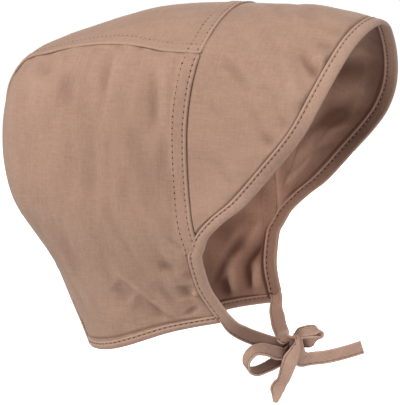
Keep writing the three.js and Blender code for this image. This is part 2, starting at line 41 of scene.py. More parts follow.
camera = {
    "target": (-16.6, -5.8, -105.2),  # what the middle of the frame looks at
    "azimuth": -62.0,
    "elevation": 9.4,
    "distance": 1500.0,
    "frameHeight": 218.7,  # how much of the hat's surroundings the frame takes in there
    "sensor": 36.0,
}


def makeCamera():
    turn, tilt = math.radians(camera["azimuth"]), math.radians(camera["elevation"])
    back = Vector((
        math.sin(turn) * math.cos(tilt),
        -math.cos(turn) * math.cos(tilt),
        math.sin(tilt),
    ))
    data = bpy.data.cameras.new("camera")
    data.sensor_width = camera["sensor"]
    data.lens = camera["sensor"] * camera["distance"] / camera["frameHeight"]
    data.clip_start, data.clip_end = 0.05, 60.0
    eye = bpy.data.objects.new("camera", data)
    eye.location = (Vector(camera["target"]) + back * camera["distance"]) * mm
    eye.rotation_euler = (-back).to_track_quat("-Z", "Y").to_euler()
    bpy.context.scene.collection.objects.link(eye)
    bpy.context.scene.camera = eye


makeCamera()
print("camera placed")

# The hat's shape. Every table describes the wearer's left half, and the right one is its mirror
# image. half is the half-width there.
frontEdgeTable = [
    (48.5, -23, -20), (51, -21.6, -26.5), (53, -19.2, -39), (54, -17.2, -58), (53.5, -17, -79),
    (52, -17.6, -98), (51, -19.5, -114), (47, -23, -129), (42.2, -23.4, -140.6),
    (38.2, -25.5, -149.8), (34.6, -29.1, -156.8), (31.2, -32.7, -163.2),
]  # half, y, z: the seam with the visor down to the ear, then the face edge
earRow = 7
stripTable = [
    (48.5, -23, -20, -24, 2.4, 0.25), (45.5, 3, -20, 4, 0.9, 0.3), (41, 26, -18.3, 28, -1.7, 0.4),
    (37.5, 43, -19.4, 45, -6.8, 0.5), (33.5, 63, -22.4, 66, -13.8, 0.65),
    (30, 81, -27.2, 84.5, -20.2, 0.8), (25, 98.9, -33, 103, -28.6, 1.35),
    (22, 110.6, -46.7, 114.5, -43.6, 2.25), (21, 114.1, -67.4, 118, -66, 3),
    (21.2, 113.8, -87, 117.8, -87, 3.1), (22, 107.9, -106.3, 111.6, -107.2, 3),
    (23.2, 93.6, -125.2, 97.4, -126.6, 2.4), (24.5, 79.2, -146, 83.2, -147, 1.8),
    (24.5, 68.5, -167, 72.5, -167.5, 1.5), (24, 58.5, -189, 62.5, -190, 1.5),
]  # half, y, z of the seam; y, z of the middle; how far outward the side leans there
neckEdgeTable = [
    (31.2, -32.7, -163.2), (31.4, -24, -167.8), (33.5, -14.7, -169.6), (37, 3.5, -174.6),
    (40.2, 19, -180.4), (41.2, 30, -184.3), (38.5, 41, -187), (33, 50, -188.4), (24, 58.5, -189),
]  # half, y, z
visorEdgeTable = [
    (0, -105, -4.6), (9, -104.3, -6), (18, -102.3, -10.2), (28, -100.1, -17.4), (38.6, -97, -29),
    (48, -92.2, -44), (51.8, -84.2, -60.2), (51.3, -66, -81.8), (51, -48, -101),
    (50.8, -30.5, -115), (47, -23, -129),
]  # half, y, z
shape = {
    "frontLean": 0.36,  # how far outward the side sets off from its front edge
    "frontHandle": 0.36,  # how far it keeps that way, as a share of the straight line across
    "seamHandle": 0.4,  # and the way it has at the strip
    "visorCrown": 4.2,  # how far the visor arches up along its middle
    "cornerCut": 0.012,  # share of the front edge left open where side, strip and visor meet
    "layer": 0.9,  # one layer of cloth
}
outward = np.array((1.0, 0.0, 0.0))
mirror = np.array((-1.0, 1.0, 1.0))


def smoothLine(points, perSpan=120):
    # a curve through the points that never overshoots, with the share of its length at each place
    given = np.asarray(points, float)
    padded = np.vstack([2 * given[0] - given[1], given, 2 * given[-1] - given[-2]])
    step = np.linspace(0, 1, perSpan, endpoint=False)[:, None]
    spans = []
    for before, start, end, after in zip(padded, padded[1:], padded[2:], padded[3:]):
        gaps = (end - start, start - before, after - end)
        gap, gapBefore, gapAfter = (math.sqrt(np.linalg.norm(way)) for way in gaps)
        gap = gap if gap > 1e-4 else 1.0
        gapBefore = gapBefore if gapBefore > 1e-4 else gap
        gapAfter = gapAfter if gapAfter > 1e-4 else gap
        setOff = (start - before) / gapBefore - (end - before) / (gapBefore + gap)
        setOff = (setOff + (end - start) / gap) * gap
        arrive = (end - start) / gap - (after - start) / (gap + gapAfter)
        arrive = (arrive + (after - end) / gapAfter) * gap
        bend = -3 * start + 3 * end - 2 * setOff - arrive
        twist = 2 * start - 2 * end + setOff + arrive
        spans.append(start + setOff * step + bend * step**2 + twist * step**3)
    line = np.vstack([*spans, given[-1:]])
    run = np.concatenate([[0], np.cumsum(np.linalg.norm(np.diff(line, axis=0), axis=1))])
    return {
        "points": line,
        "share": run / run[-1],
        "length": run[-1],
        "own": run[::perSpan] / run[-1],  # the share at each point given
    }


def at(line, share):
    share = np.asarray(share, float)
    return np.stack([np.interp(share, line["share"], line["points"][:, k]) for k in range(3)], -1)


def halfLine(points):
    # half of a curve that is the same on both sides, from its middle outward
    given = np.asarray(points, float)
    return smoothLine(np.vstack([(given[1:] * mirror)[::-1], given]))


def atHalf(line, share):
    return at(line, 0.5 + np.asarray(share, float) / 2)


def unit(vectors):
    return vectors / np.maximum(np.linalg.norm(vectors, axis=-1, keepdims=True), 1e-12)


def rise(low, high, x):
    # from 0 at low to 1 at high, smooth at both ends
    share = np.clip((x - low) / (high - low), 0, 1)
    return share * share * (3 - 2 * share)


def hump(x, reach):
    # 1 at 0, and gone at about twice the reach to either side
    return np.exp(-((x / reach) ** 2))


def softNoise(u, v, seed):
    # smooth noise from -1 to 1 with a grain of 1, the same on every run
    grid = np.random.default_rng(seed).uniform(-1, 1, (97, 89))
    row, column = np.floor(u).astype(int), np.floor(v).astype(int)
    down, across = u - row, v - column
    down, across = down * down * (3 - 2 * down), across * across * (3 - 2 * across)

    def corner(below, beside):
        return grid[(row + below) % 97, (column + beside) % 89]

    near = corner(0, 0) * (1 - across) + corner(0, 1) * across
    far = corner(1, 0) * (1 - across) + corner(1, 1) * across
    return near * (1 - down) + far * down


frontEdge = smoothLine(frontEdgeTable)
stripSeam = smoothLine([row[:3] for row in stripTable])
stripMiddle = smoothLine([(0, row[3], row[4]) for row in stripTable])
stripLean = [row[5] for row in stripTable]
neckEdge = smoothLine(neckEdgeTable)
visorEdge = halfLine(visorEdgeTable)


def stripPoint(along, across):
    seam = at(stripSeam, along)
    middle = at(stripMiddle, np.interp(along, stripSeam["own"], stripMiddle["own"]))
    across = np.asarray(across, float)[..., None]
    bow = across**2
    point = middle * (1 - bow) + seam * bow
    return np.concatenate([seam[..., :1] * across, point[..., 1:]], -1)


def sideLine(back, down):
    front, seam = at(frontEdge, down), at(stripSeam, down)
    chord = seam - front
    length = np.linalg.norm(chord, axis=-1, keepdims=True)
    lean = np.interp(down, stripSeam["own"], stripLean)[..., None]
    frontWay = unit(unit(chord) + outward * shape["frontLean"])
    seamWay = unit(-unit(chord) + outward * lean)
    nearFront = front + frontWay * shape["frontHandle"] * length
    nearSeam = seam + seamWay * shape["seamHandle"] * length
    share = np.asarray(back, float)[..., None]
    rest = 1 - share
    ends = front * rest**3, nearFront * 3 * rest**2 * share, nearSeam * 3 * rest * share**2
    return ends[0] + ends[1] + ends[2] + seam * share**3


def sidePoint(back, down):
    toNeck = at(neckEdge, back) - sideLine(back, np.ones_like(down))
    return sideLine(back, down) + toNeck * down[..., None] ** 4


visorSeam = halfLine([
    *[stripPoint(np.array(0.0), across) for across in (0, 0.25, 0.5, 0.75)],
    *frontEdgeTable[: earRow + 1],
])


def visorPoint(around, deep):
    seam, edge = atHalf(visorSeam, around), atHalf(visorEdge, around)
    deep = np.asarray(deep, float)
    crown = shape["visorCrown"] * np.cos(np.pi / 2 * around) ** 2 * np.sin(np.pi * deep**1.3)
    point = seam * (1 - deep[..., None]) + edge * deep[..., None]
    point[..., 2] += crown
    return point


def lineGrid(pointAt, rows, margins, columns, reach):
    # a grid of points whose columns keep a fixed distance from both ends of each row, so that
    # what is sewn along an edge runs true. pointAt(share, row) gives the rows' points, margins is
    # where each row starts and stops short, and columns is (fine, plain, fine), the fine ones
    # within reach of an end
    dense = np.linspace(0, 1, 260)
    share, row = np.broadcast_arrays(dense[None, :], rows[:, None])
    line = pointAt(share, row)
    run = np.cumsum(np.linalg.norm(np.diff(line, axis=1), axis=-1), axis=1)
    run = np.concatenate([np.zeros((len(rows), 1)), run], axis=1)
    start = np.zeros(len(rows)) + margins[0]
    length = run[:, -1] - margins[1] - start
    edge = reach * np.minimum(1, length / (2.5 * reach))
    first = np.linspace(0, 1, columns[0] + 1)[None, :] ** 1.4 * edge[:, None]
    last = length[:, None] - np.linspace(1, 0, columns[2] + 1)[None, :] ** 1.4 * edge[:, None]
    plain = np.linspace(0, 1, columns[1] + 1)[None, 1:-1]
    middle = edge[:, None] + plain * (length - 2 * edge)[:, None]
    ran = np.concatenate([first, middle, last], axis=1)
    place = ran + start[:, None]
    shares = np.stack([np.interp(place[k], run[k], dense) for k in range(len(rows))])
    points = pointAt(shares, np.broadcast_to(rows[:, None], shares.shape))
    return {"points": points, "fromStart": ran, "toEnd": length[:, None] - ran}


def gridNormals(points, flip):
    down = np.gradient(points, axis=0)
    across = np.gradient(points, axis=1)
    return unit(np.cross(across, down)) * (-1 if flip else 1)


def runDown(points):
    step = np.linalg.norm(np.diff(points, axis=0), axis=-1)
    return np.concatenate([np.zeros((1, points.shape[1])), np.cumsum(step, axis=0)])


def borderOf(rows, columns):
    top = [(0, c) for c in range(columns)]
    right = [(r, columns - 1) for r in range(1, rows)]
    bottom = [(rows - 1, c) for c in range(columns - 2, -1, -1)]
    left = [(r, 0) for r in range(rows - 2, 0, -1)]
    return np.array(top + right + bottom + left)


def meshObject(name, points, faces, uv, wearAndPaintedLight):
    # uv is each point's place on the weave, in mm, and the last argument is more than 0 where the cloth
    # is lighter, partly from rubbing along folded edges and partly painted highlight, and less than 0
    # where painted shade darkens it in grooves, creases and hollows
    data = bpy.data.meshes.new(name)
    data.from_pydata((np.asarray(points) * mm).tolist(), [], faces)
    layer = data.attributes.new("wearAndPaintedLight", "FLOAT", "POINT")
    layer.data.foreach_set("value", np.asarray(wearAndPaintedLight, np.float32).ravel())
    layer = data.uv_layers.new(name="weave")
    corners = np.empty(len(data.loops), np.int32)
    data.loops.foreach_get("vertex_index", corners)
    layer.data.foreach_set("uv", np.asarray(uv, np.float32)[corners].ravel())
    data.polygons.foreach_set("use_smooth", [True] * len(data.polygons))
    data.validate()
    data.update()
    made = bpy.data.objects.new(name, data)
    bpy.context.scene.collection.objects.link(made)
    return made


def clothShell(name, outer, inner, uv, wearAndPaintedLight, wearAndPaintedLightInside, turned, rimSteps=4):
    # a wall of cloth between two grids of points, its edge rounded like a fold
    rows, columns = outer.shape[:2]
    count = rows * columns
    index = np.arange(count).reshape(rows, columns)
    a, b, c, d = index[:-1, :-1], index[:-1, 1:], index[1:, 1:], index[1:, :-1]
    over = np.stack([a, b, c, d], -1).reshape(-1, 4)
    under = np.stack([a, d, c, b], -1).reshape(-1, 4) + count
    border = borderOf(rows, columns)
    down, across = border[:, 0], border[:, 1]
    rim = index[down, across]
    inward = np.clip(border, 1, [rows - 2, columns - 2])
    away = unit(outer[down, across] - outer[inward[:, 0], inward[:, 1]])
    half = (outer[down, across] - inner[down, across]) / 2
    middle = (outer[down, across] + inner[down, across]) / 2
    radius = np.linalg.norm(half, axis=-1, keepdims=True)
    flat = uv.reshape(-1, 2)
    rings, points, uvs = [rim], [outer.reshape(-1, 3), inner.reshape(-1, 3)], [flat, flat]
    rubbedAndPaintedLight = [wearAndPaintedLight.ravel(), wearAndPaintedLightInside.ravel()]
    for k in range(1, rimSteps):
        turn = math.pi * k / rimSteps
        points.append(middle + half * math.cos(turn) + away * radius * math.sin(turn))
        uvs.append(flat[rim])
        rubbedAndPaintedLight.append(wearAndPaintedLight.ravel()[rim])
        rings.append(2 * count + (k - 1) * len(rim) + np.arange(len(rim)))
    rings.append(rim + count)
    sides = [
        np.stack([one, other, np.roll(other, -1), np.roll(one, -1)], -1)
        for one, other in zip(rings, rings[1:])
    ]
    faces = np.vstack([over, under, *sides])
    if turned:
        faces = faces[:, ::-1]
    return meshObject(name, np.vstack(points), faces.tolist(), np.vstack(uvs), np.concatenate(rubbedAndPaintedLight))


def rowAcross(points, out, distances, distance):
    # the line over a grid that keeps a distance, where distances is how far each point has run
    # from the edge in its own row
    line = np.empty((len(points), 6))
    both = np.concatenate([points, out], axis=-1)
    for k, run in enumerate(distances):
        order = slice(None) if run[-1] > run[0] else slice(None, None, -1)
        for axis in range(6):
            line[k, axis] = np.interp(distance, run[order], both[k, order, axis])
    return line[:, :3], unit(line[:, 3:])


# Folds and hollows of each crown side, seen from the side: the ends of the crease, how wide it
# is to each side of it, and how far it stands out, or in where negative.
sideFoldTable = [
    (27.5, -141.8, -1.7, -165.6, 1.3, 1.8), (30, -148, 22, -157, 7, -1.5),
    (20, -157, 4, -166, 6, -1.5), (-9.5, -146, -11, -154, 4.2, -2),
    (-15.5, -149.5, -16, -152, 2.4, 1.8), (-10, -160, -12, -163, 4, -1.6),
    (3, -136, -7, -137.5, 3.4, -1.5), (-13, -138, -15, -144, 3, -1.2), (-5, -119, -12, -126, 1.2, -1),
    (8, -146, -4, -158, 4, -0.9), (3, -30, 0, -62, 3.6, -1.3), (-3.5, -27, -7, -60, 4, 1.4),
    (94, -36, 62, -47, 5, 1.3), (84, -33, 70, -37, 3.5, -1.3), (60, -33, 52, -52, 5, -1.2),
    (26, -28, 24, -46, 4, 1), (33, -28, 32, -44, 4, -0.9), (14, -58, 6, -92, 6, -0.9),
    (97, -35, 91, -38, 3, -0.8), (45, -60, 38, -100, 9, -0.6), (-2, -70, -6, -104, 5, -0.7),
]
leftFoldTable = [
    (9, -147, 16, -162, 2.8, 1.8), (10, -157, 4, -169, 4, 2.6), (5, -150, 0, -167, 3, -2.2),
    (-13, -137, -5, -150, 1.9, 2), (-5, -148, -10, -162, 2.8, 2.6), (-12, -146, -14, -162, 2.4, -2),
    (0, -133, 10, -147, 2.8, 1.6), (-10, -124, -3, -143, 3, -1.5), (-3, -141, 5, -150, 2.6, -1.3),
    (-17, -126, -12, -138, 2, 1.1), (22, -128, 8, -138, 6, 1), (10, -100, -8, -126, 7, -1),
]
# Where painted light makes the inside of a side lighter, and painted shade makes it darker where
# negative: y and z of the middle of the place, how far it reaches each way, and how much.
sidePaintedLightTable = [
    (4, -160, 22, 22, -0.3), (14, -137, 11, 11, 0.3), (-5, -137, 10, 15, -0.34),
]
# The visor's folds, by the run round it from its right end and the distance to its edge. The second
# table is of its inner face alone.
visorFoldTable = [
    (127, 22, 121, 5, 3, -2), (143, 20, 115, 18, 7, -1), (138, 17, 141, 5, 2.6, -1.6),
    (132, 14, 130, 6, 3.4, 1.5), (109, 20, 106, 6, 5.5, 1.5), (99, 24, 95, 8, 4, -0.9),
    (152, 24, 157, 8, 4, 0.9), (86, 30, 78, 10, 6, -0.8), (104, 60, 100, 34, 9, -0.6),
    (128, 60, 118, 36, 8, 0.6),
]
visorInnerTable = [
    (285, 24, 283, 20, 8, 1.5), (298, 19, 297, 15, 6, 1.5), (291, 16, 290, 8, 5, -0.6),
    (268, 32, 264, 14, 7, -1.2), (250, 32, 246, 14, 6, 0.9), (236, 36, 233, 18, 6, -1),
    (222, 34, 220, 16, 5, 0.8), (276, 20, 274, 9, 4, 0.8),
]
seam = {
    "pitch": 3.1,  # of the stitches
    "frontRows": (1.8, 7.9),  # from the edge of the crown to its two rows of stitches
    "frontAllowance": 9.8,  # how far the cloth turned in there reaches
    "stripRow": 5.4,  # from the strip's edge to its row
    "stripAllowance": 7.2,
    "proud": 0.55,  # how far the turned-in edge stands above the cloth under it
    "wander": 0.7,  # how far the strip's edge strays to each side
    "groove": 0.65,  # how deep the cloth dips under a turned-in edge
    "tapeGroove": 0.6,  # and beside a binding
    "paintedFoldShade": 0.2,  # how much painted shade a millimetre of hollow puts on the cloth, and how much painted highlight a ridge puts on it
}


def foldHeight(y, z, table):
    height = np.zeros_like(y)
    for fromY, fromZ, toY, toZ, reach, tall in table:
        run = np.array((toY - fromY, toZ - fromZ))
        along = ((y - fromY) * run[0] + (z - fromZ) * run[1]) / (run @ run)
        nearest = np.clip(along, 0, 1)
        away = np.hypot(y - fromY - nearest * run[0], z - fromZ - nearest * run[1])
        height += tall * hump(away, reach) * (1 - 0.8 * np.abs(2 * nearest - 1) ** 3)
    return height


def sewnEdge(distance, along, rows, seed):
    # the height of cloth near a turned-in edge that is sewn down by rows of stitches
    proud = seam["proud"] * (1 - rise(rows[-1], rows[-1] + 2.2, distance))
    roll = 0.24 * hump(distance - 0.5, 0.7)
    pull = np.zeros_like(distance)
    for k, row in enumerate(rows):
        tug = 0.65 + 0.35 * np.cos(2 * np.pi * along / seam["pitch"])
        pull += 0.26 * hump(distance - row, 0.6) * tug
        pull += 0.2 * softNoise(along / 5.5, distance / 8, seed + k) * hump(distance - row, 3.2)
    return proud + roll - pull


def allowance(distance, reach):
    # the thickness on the inner side of the cloth turned in along a seam, to its cut edge
    return 0.55 * (1 - rise(reach, reach + 0.7, distance)) + 0.15 * hump(distance - reach + 0.4, 0.5)


def thinEdge(under, over, distance):
    # a turned-in edge is only two layers thick at the fold itself
    share = rise(0.1, 1.8, distance)
    return under * share + (over - 1.25) * (1 - share)


def innerFolds(u, v, seed):
    # how far the loose inner face of the cloth stands in from its outer one
    slanted = softNoise((0.5 * u + 0.85 * v) / 7.5, (u - 0.5 * v) / 17, seed)
    folds = 0.65 * slanted + 0.5 * softNoise(u / 14, v / 12, seed + 1)
    return 0.75 + 0.75 * folds


def onBothFaces(outer, inner, normal):
    return (outer, normal), (inner, -normal)


sidePanel = {
    "rows": (190, 32),  # of its grid, down to near the neck and from there on
    "neckShare": 0.94,  # where they meet
    "columns": (26, 88, 20),
    "edgeReach": 13,  # how far the fine columns go in from each edge
    "fromTape": 2.2,  # how far its open front edge stays back inside the binding
    "swell": 0.8,  # how high the slack cloth swells, in large and in small
    "ripple": 0.32,
    "slantWrinkle": 0.34,  # the wrinkles low down, and the upright ones above them
    "uprightWrinkle": 0.26,
    "pucker": 0.75,  # beside the strip
    # how much painted shade and painted highlight the wrinkles put on the cloth
    "paintedWrinkleShade": 0.6,
    "seeds": {"left": 11, "right": 5},
}


def crownSide(side):
    isLeft = side == "left"
    seed = sidePanel["seeds"][side]
    split = sidePanel["neckShare"]
    rows = np.concatenate([
        np.linspace(shape["cornerCut"], split, sidePanel["rows"][0])[:-1],
        np.linspace(split, 0.985, sidePanel["rows"][1]),
    ])
    ear = frontEdge["own"][earRow]
    openEdge = rise(ear - 0.03, ear + 0.02, rows)
    margins = (sidePanel["fromTape"] * openEdge, np.zeros(len(rows)))
    grid = lineGrid(sidePoint, rows, margins, sidePanel["columns"], sidePanel["edgeReach"])
    base, fromFront, fromStrip = grid["points"], grid["fromStart"], grid["toEnd"]
    normal = gridNormals(base, True)
    down = runDown(base)
    y, z = base[..., 1], base[..., 2]
    toNeck = down[-1:] - down
    sewn = (1 - openEdge)[:, None]
    bound = openEdge[:, None]
    inside = rise(0, 12, fromFront) * rise(0, 14, fromStrip) * rise(2, 14, toNeck)

    # what lifts the cloth: creases, slack, wrinkles, and puckers beside the strip
    folds = foldHeight(y, z, leftFoldTable if isLeft else sideFoldTable)
    folds *= rise(0, 9, fromFront) * rise(0, 9, toNeck)
    slack = sidePanel["swell"] * softNoise(y / 26, z / 34, seed)
    slack += sidePanel["ripple"] * softNoise(y / 8, z / 22, seed + 1)
    low = rise(-90, -130, z)
    slanted = softNoise((y - 0.5 * z) / 5.5, (z + 0.5 * y) / 26, seed + 9)
    wrinkles = sidePanel["slantWrinkle"] * slanted * low
    wrinkles += sidePanel["uprightWrinkle"] * softNoise(y / 4.6, z / 24, seed + 10) * (1 - low)
    wrinkles *= inside
    puckers = softNoise(down / 5, fromStrip / 9, seed + 7)
    puckers = puckers * hump(fromStrip - 3, 6) * rise(0, 3, fromStrip)
    height = folds + slack * inside + wrinkles
    height += sidePanel["pucker"] * puckers
    edge = sewnEdge(fromFront, down, seam["frontRows"], seed + 2) * sewn

    # the grooves under the strip and beside both bindings
    sunk = seam["groove"] * hump(fromStrip - 0.4, 0.85) * rise(1.5, 5, toNeck)
    sunk += seam["tapeGroove"] * hump(fromFront - 6.1, 0.8) * bound
    sunk += 0.5 * seam["tapeGroove"] * hump(toNeck - 2.7, 0.7)
    outer = base + normal * (height + edge - sunk)[..., None]
    lining = allowance(fromFront, seam["frontAllowance"]) * sewn
    lining = np.maximum(lining, allowance(fromStrip, seam["stripAllowance"]))
    under = np.minimum(edge, 0.3) - lining - shape["layer"]
    under = thinEdge(under, edge, np.where(sewn > 0.5, fromFront, 9))
    loose = innerFolds(y, z, seed + 9) * inside
    under -= loose
    inner = base + normal * (height + under - sunk)[..., None]

    # painted light on the outside: the folded front edge lighter, partly from rubbing and partly
    # painted highlight; painted shade in a line under the strip's edge, beside both bindings and in the
    # hollows of the puckers; and folds and wrinkles painted lighter on their ridges and darker in their
    # hollows
    wearAndPaintedLight = hump(fromFront, 0.8) * sewn - hump(fromStrip - 0.6, 0.9) + 0.3 * np.minimum(puckers, 0)
    wearAndPaintedLight += seam["paintedFoldShade"] * folds * (not isLeft) + sidePanel["paintedWrinkleShade"] * wrinkles
    wearAndPaintedLight -= 0.8 * hump(fromFront - 6.0, 0.6) * bound + 0.7 * hump(toNeck - 2.5, 0.6)
    # painted light on the inside: painted shade all over and in the loose folds and hollows, the
    # painted light and shade of the table, painted shade along both bindings, and the folded front edge
    # lighter, partly from rubbing and partly painted highlight
    wearAndPaintedLightInside = 0.45 * (loose - 1) * inside - 1.5 * seam["paintedFoldShade"] * folds - 0.14
    for placeY, placeZ, reachY, reachZ, tone in sidePaintedLightTable:
        wearAndPaintedLightInside += tone * hump(y - placeY, reachY) * hump(z - placeZ, reachZ)
    wearAndPaintedLightInside -= 1.1 * hump(fromFront - 6.3, 1.1) * bound + 0.9 * hump(toNeck - 2.3, 0.8)
    wearAndPaintedLightInside += 0.8 * hump(fromFront - 0.4, 0.8) * sewn
    if not isLeft:
        outer, inner, normal = outer * mirror, inner * mirror, normal * mirror
    name = "sideCloth" + side.capitalize()
    piece = clothShell(name, outer, inner, np.stack([y, z], -1), wearAndPaintedLight, wearAndPaintedLightInside, isLeft)
    held = slice(2, np.nonzero(sewn[:, 0] > 0.5)[0][-1])
    rowsOf = [
        [rowAcross(skin[held], out[held], fromFront[held], place) for place in seam["frontRows"]]
        for skin, out in onBothFaces(outer, inner, normal)
    ]
    return piece, rowsOf


centreStrip = {
    "rows": 320,
    "columns": (20, 56, 20),
    "edgeReach": 10,
    "swell": 0.45,
}


def crownStrip():
    rows = centreStrip["rows"]

    def pointAt(share, row):
        return stripPoint(row, share * 2 - 1)

    grid = lineGrid(
        pointAt, np.linspace(0.001, 0.995, rows), (0, np.zeros(rows)),
        centreStrip["columns"], centreStrip["edgeReach"],
    )
    base = grid["points"]
    normal = gridNormals(base, False)
    down = runDown(base)
    fromSeam = np.minimum(grid["fromStart"], grid["toEnd"])
    side = sewnEdge(fromSeam, down, (seam["stripRow"],), 31)
    front = sewnEdge(down, base[..., 0], seam["frontRows"], 37)
    height = np.maximum(side, front)
    swell = softNoise(base[..., 0] / 24, down / 26, 41) * rise(0, 14, fromSeam) * rise(0, 14, down)
    height += centreStrip["swell"] * swell
    leftward = np.where(grid["fromStart"] < grid["toEnd"], 1, -1)
    stray = softNoise(down / 17, 3.0 + leftward, 43) * seam["wander"] * rise(4, 30, down)
    stray = stray * (1 - rise(1, 9, fromSeam)) * leftward
    strayed = unit(np.gradient(base, axis=1)) * stray[..., None]
    outer = base + normal * height[..., None] + strayed
    lining = np.maximum(
        allowance(fromSeam, seam["stripAllowance"]), allowance(down, seam["frontAllowance"])
    )
    under = np.minimum(height, 0.2) - lining - shape["layer"]
    under = thinEdge(under, height, np.minimum(fromSeam, down))
    inner = base + normal * under[..., None] + strayed
    # its seam edges and its folded front edge lighter, partly from rubbing and partly painted
    # highlight, and the same more weakly inside
    wearAndPaintedLight = np.maximum(0.8 * hump(fromSeam, 0.7), 1.2 * hump(down, 0.8))
    weave = np.stack([base[..., 0], down], -1)
    piece = clothShell("stripCloth", outer, inner, weave, wearAndPaintedLight, 0.3 * wearAndPaintedLight, False)
    rowsOf = []
    for skin, out in onBothFaces(outer, inner, normal):
        lines = [
            rowAcross(skin[3:-3], out[3:-3], run[3:-3], seam["stripRow"])
            for run in (grid["fromStart"], grid["toEnd"])
        ]
        turned, turnedOut, turnedRun = (np.swapaxes(part, 0, 1)[2:-2] for part in (skin, out, down))
        lines += [rowAcross(turned, turnedOut, turnedRun, place) for place in seam["frontRows"]]
        rowsOf.append(lines)
    return piece, rowsOf


visorCloth = {
    "rows": 340,
    "columns": (20, 66, 22),
    "edgeReach": 12,
    "fromTape": 1.6,  # how far its edge stays back inside the binding
    "swell": 0.9,
    "ripple": 0.32,
    "wrinkle": 0.34,
    "gather": 0.8,  # the small gathers beside the binding
    "ridge": 0.85,  # how far the seam stands up on the inner side
    # how much painted shade and painted highlight the wrinkles put on the cloth
    "paintedWrinkleShade": 0.5,
}


def visor():
    around = np.linspace(-1, 1, visorCloth["rows"])

    def pointAt(share, row):
        point = visorPoint(np.abs(row) * 0.985, share)
        return np.where(row[..., None] < 0, point * mirror, point)

    margins = (0, np.full(len(around), visorCloth["fromTape"]))
    grid = lineGrid(pointAt, around, margins, visorCloth["columns"], visorCloth["edgeReach"])
    base = grid["points"]
    normal = gridNormals(base, False)
    along = runDown(base)
    fromSeam, toEdge = grid["fromStart"], grid["toEnd"]

    # creases, slack, wrinkles, and gathers beside the binding
    folds = foldHeight(along, toEdge, visorFoldTable) * rise(0, 8, fromSeam)
    clear = rise(0, 12, fromSeam)
    ripple = softNoise((along + 0.6 * fromSeam) / 9, fromSeam / 20, 52)
    wrinkles = softNoise((along + 0.7 * fromSeam) / 6.5, (fromSeam - 0.5 * along) / 28, 58)
    wrinkles = visorCloth["wrinkle"] * wrinkles
    wrinkles *= rise(4, 16, fromSeam) * rise(8, 16, toEdge)
    gathers = softNoise(along / 6.5, toEdge / 30, 53) * hump(toEdge - 12, 6) * rise(6, 10, toEdge)
    gathers *= rise(0, 8, fromSeam)
    height = folds + visorCloth["swell"] * softNoise(along / 22, fromSeam / 30, 51) * clear
    height += visorCloth["ripple"] * ripple * clear
    height += wrinkles
    height += visorCloth["gather"] * gathers
    height *= rise(4, 8.5, toEdge)

    # the grooves under the crown's edge and beside the binding
    onSide = 0.3 + 0.7 * rise(0.25, 0.5, np.abs(around))[:, None]
    height -= seam["groove"] * hump(fromSeam - 0.3, 0.8) * rise(5, 8, toEdge) * onSide
    height -= seam["tapeGroove"] * hump(toEdge - 6.7, 0.8)
    outer = base + normal * height[..., None]
    loose = innerFolds(along, fromSeam, 57) + foldHeight(along, toEdge, visorInnerTable)
    loose = np.maximum(loose, -0.2) * rise(3, 11, fromSeam) * rise(8, 18, toEdge)
    ridge = hump(fromSeam - 1.6, 1.1) * rise(5, 8, toEdge)
    under = height - shape["layer"] - loose - visorCloth["ridge"] * ridge
    inner = base + normal * under[..., None]

    # painted shade in the groove under the crown's edge, beside the binding and in the hollows of the
    # gathers; a lighter band a little in from the binding; folds and wrinkles painted lighter on their
    # ridges and darker in their hollows
    wearAndPaintedLight = -onSide * hump(fromSeam - 0.4, 0.85) - hump(toEdge - 6.7, 0.8)
    wearAndPaintedLight += 0.5 * np.minimum(gathers, 0) + 0.3 * hump(toEdge - 16, 12)
    wearAndPaintedLight += seam["paintedFoldShade"] * folds + visorCloth["paintedWrinkleShade"] * wrinkles
    # inside: painted highlight on the seam's ridge, painted shade beside the binding and in the loose
    # folds, and more painted shade farther from the seam, under the visor
    wearAndPaintedLightInside = ridge - 0.4 * hump(toEdge - 7.4, 0.9) + 0.55 * (loose - 1) * rise(3, 11, fromSeam)
    wearAndPaintedLightInside -= 0.26 * rise(16, 48, fromSeam)
    step = np.hypot(np.diff(base[..., 0], axis=0), np.diff(base[..., 2], axis=0))
    girth = np.vstack([0 * step[:1], np.cumsum(step, axis=0)])
    weave = np.stack([girth, base[..., 1]], -1)
    return clothShell("visor", outer, inner, weave, wearAndPaintedLight, wearAndPaintedLightInside, False)


sideRight, rightRowsOf = crownSide("right")
sideLeft, leftRowsOf = crownSide("left")
strip, stripRowsOf = crownStrip()
brim = visor()
print("cloth panels made")


def atOwn(line, place):
    # the point at a place from 0 to 1 counted along the curve's own points
    index = np.asarray(place, float) * (len(line["points"]) - 1)
    ticks = np.arange(len(line["points"]))
    return np.stack([np.interp(index, ticks, line["points"][:, k]) for k in range(3)], -1)


def sharesAt(pointAt, distance, fromEnd=False):
    # the share of a line at which it has run a distance from one of its ends
    dense = np.linspace(0, 1, 400)
    line = pointAt(1 - dense if fromEnd else dense)
    run = np.concatenate([[0], np.cumsum(np.linalg.norm(np.diff(line, axis=0), axis=1))])
    share = np.interp(distance, run, dense)
    return 1 - share if fromEnd else share


def normalAt(surfaceAt, u, v):
    step = 0.004
    alongU = surfaceAt(min(u + step, 1), v) - surfaceAt(max(u - step, 0), v)
    alongV = surfaceAt(u, min(v + step, 1)) - surfaceAt(u, max(v - step, 0))
    return unit(np.cross(alongV, alongU))


def sideAt(back, down):
    return sidePoint(np.array([back]), np.array([down]))[0]


def visorAt(around, deep):
    return visorPoint(np.array([around]), np.array([deep]))[0]


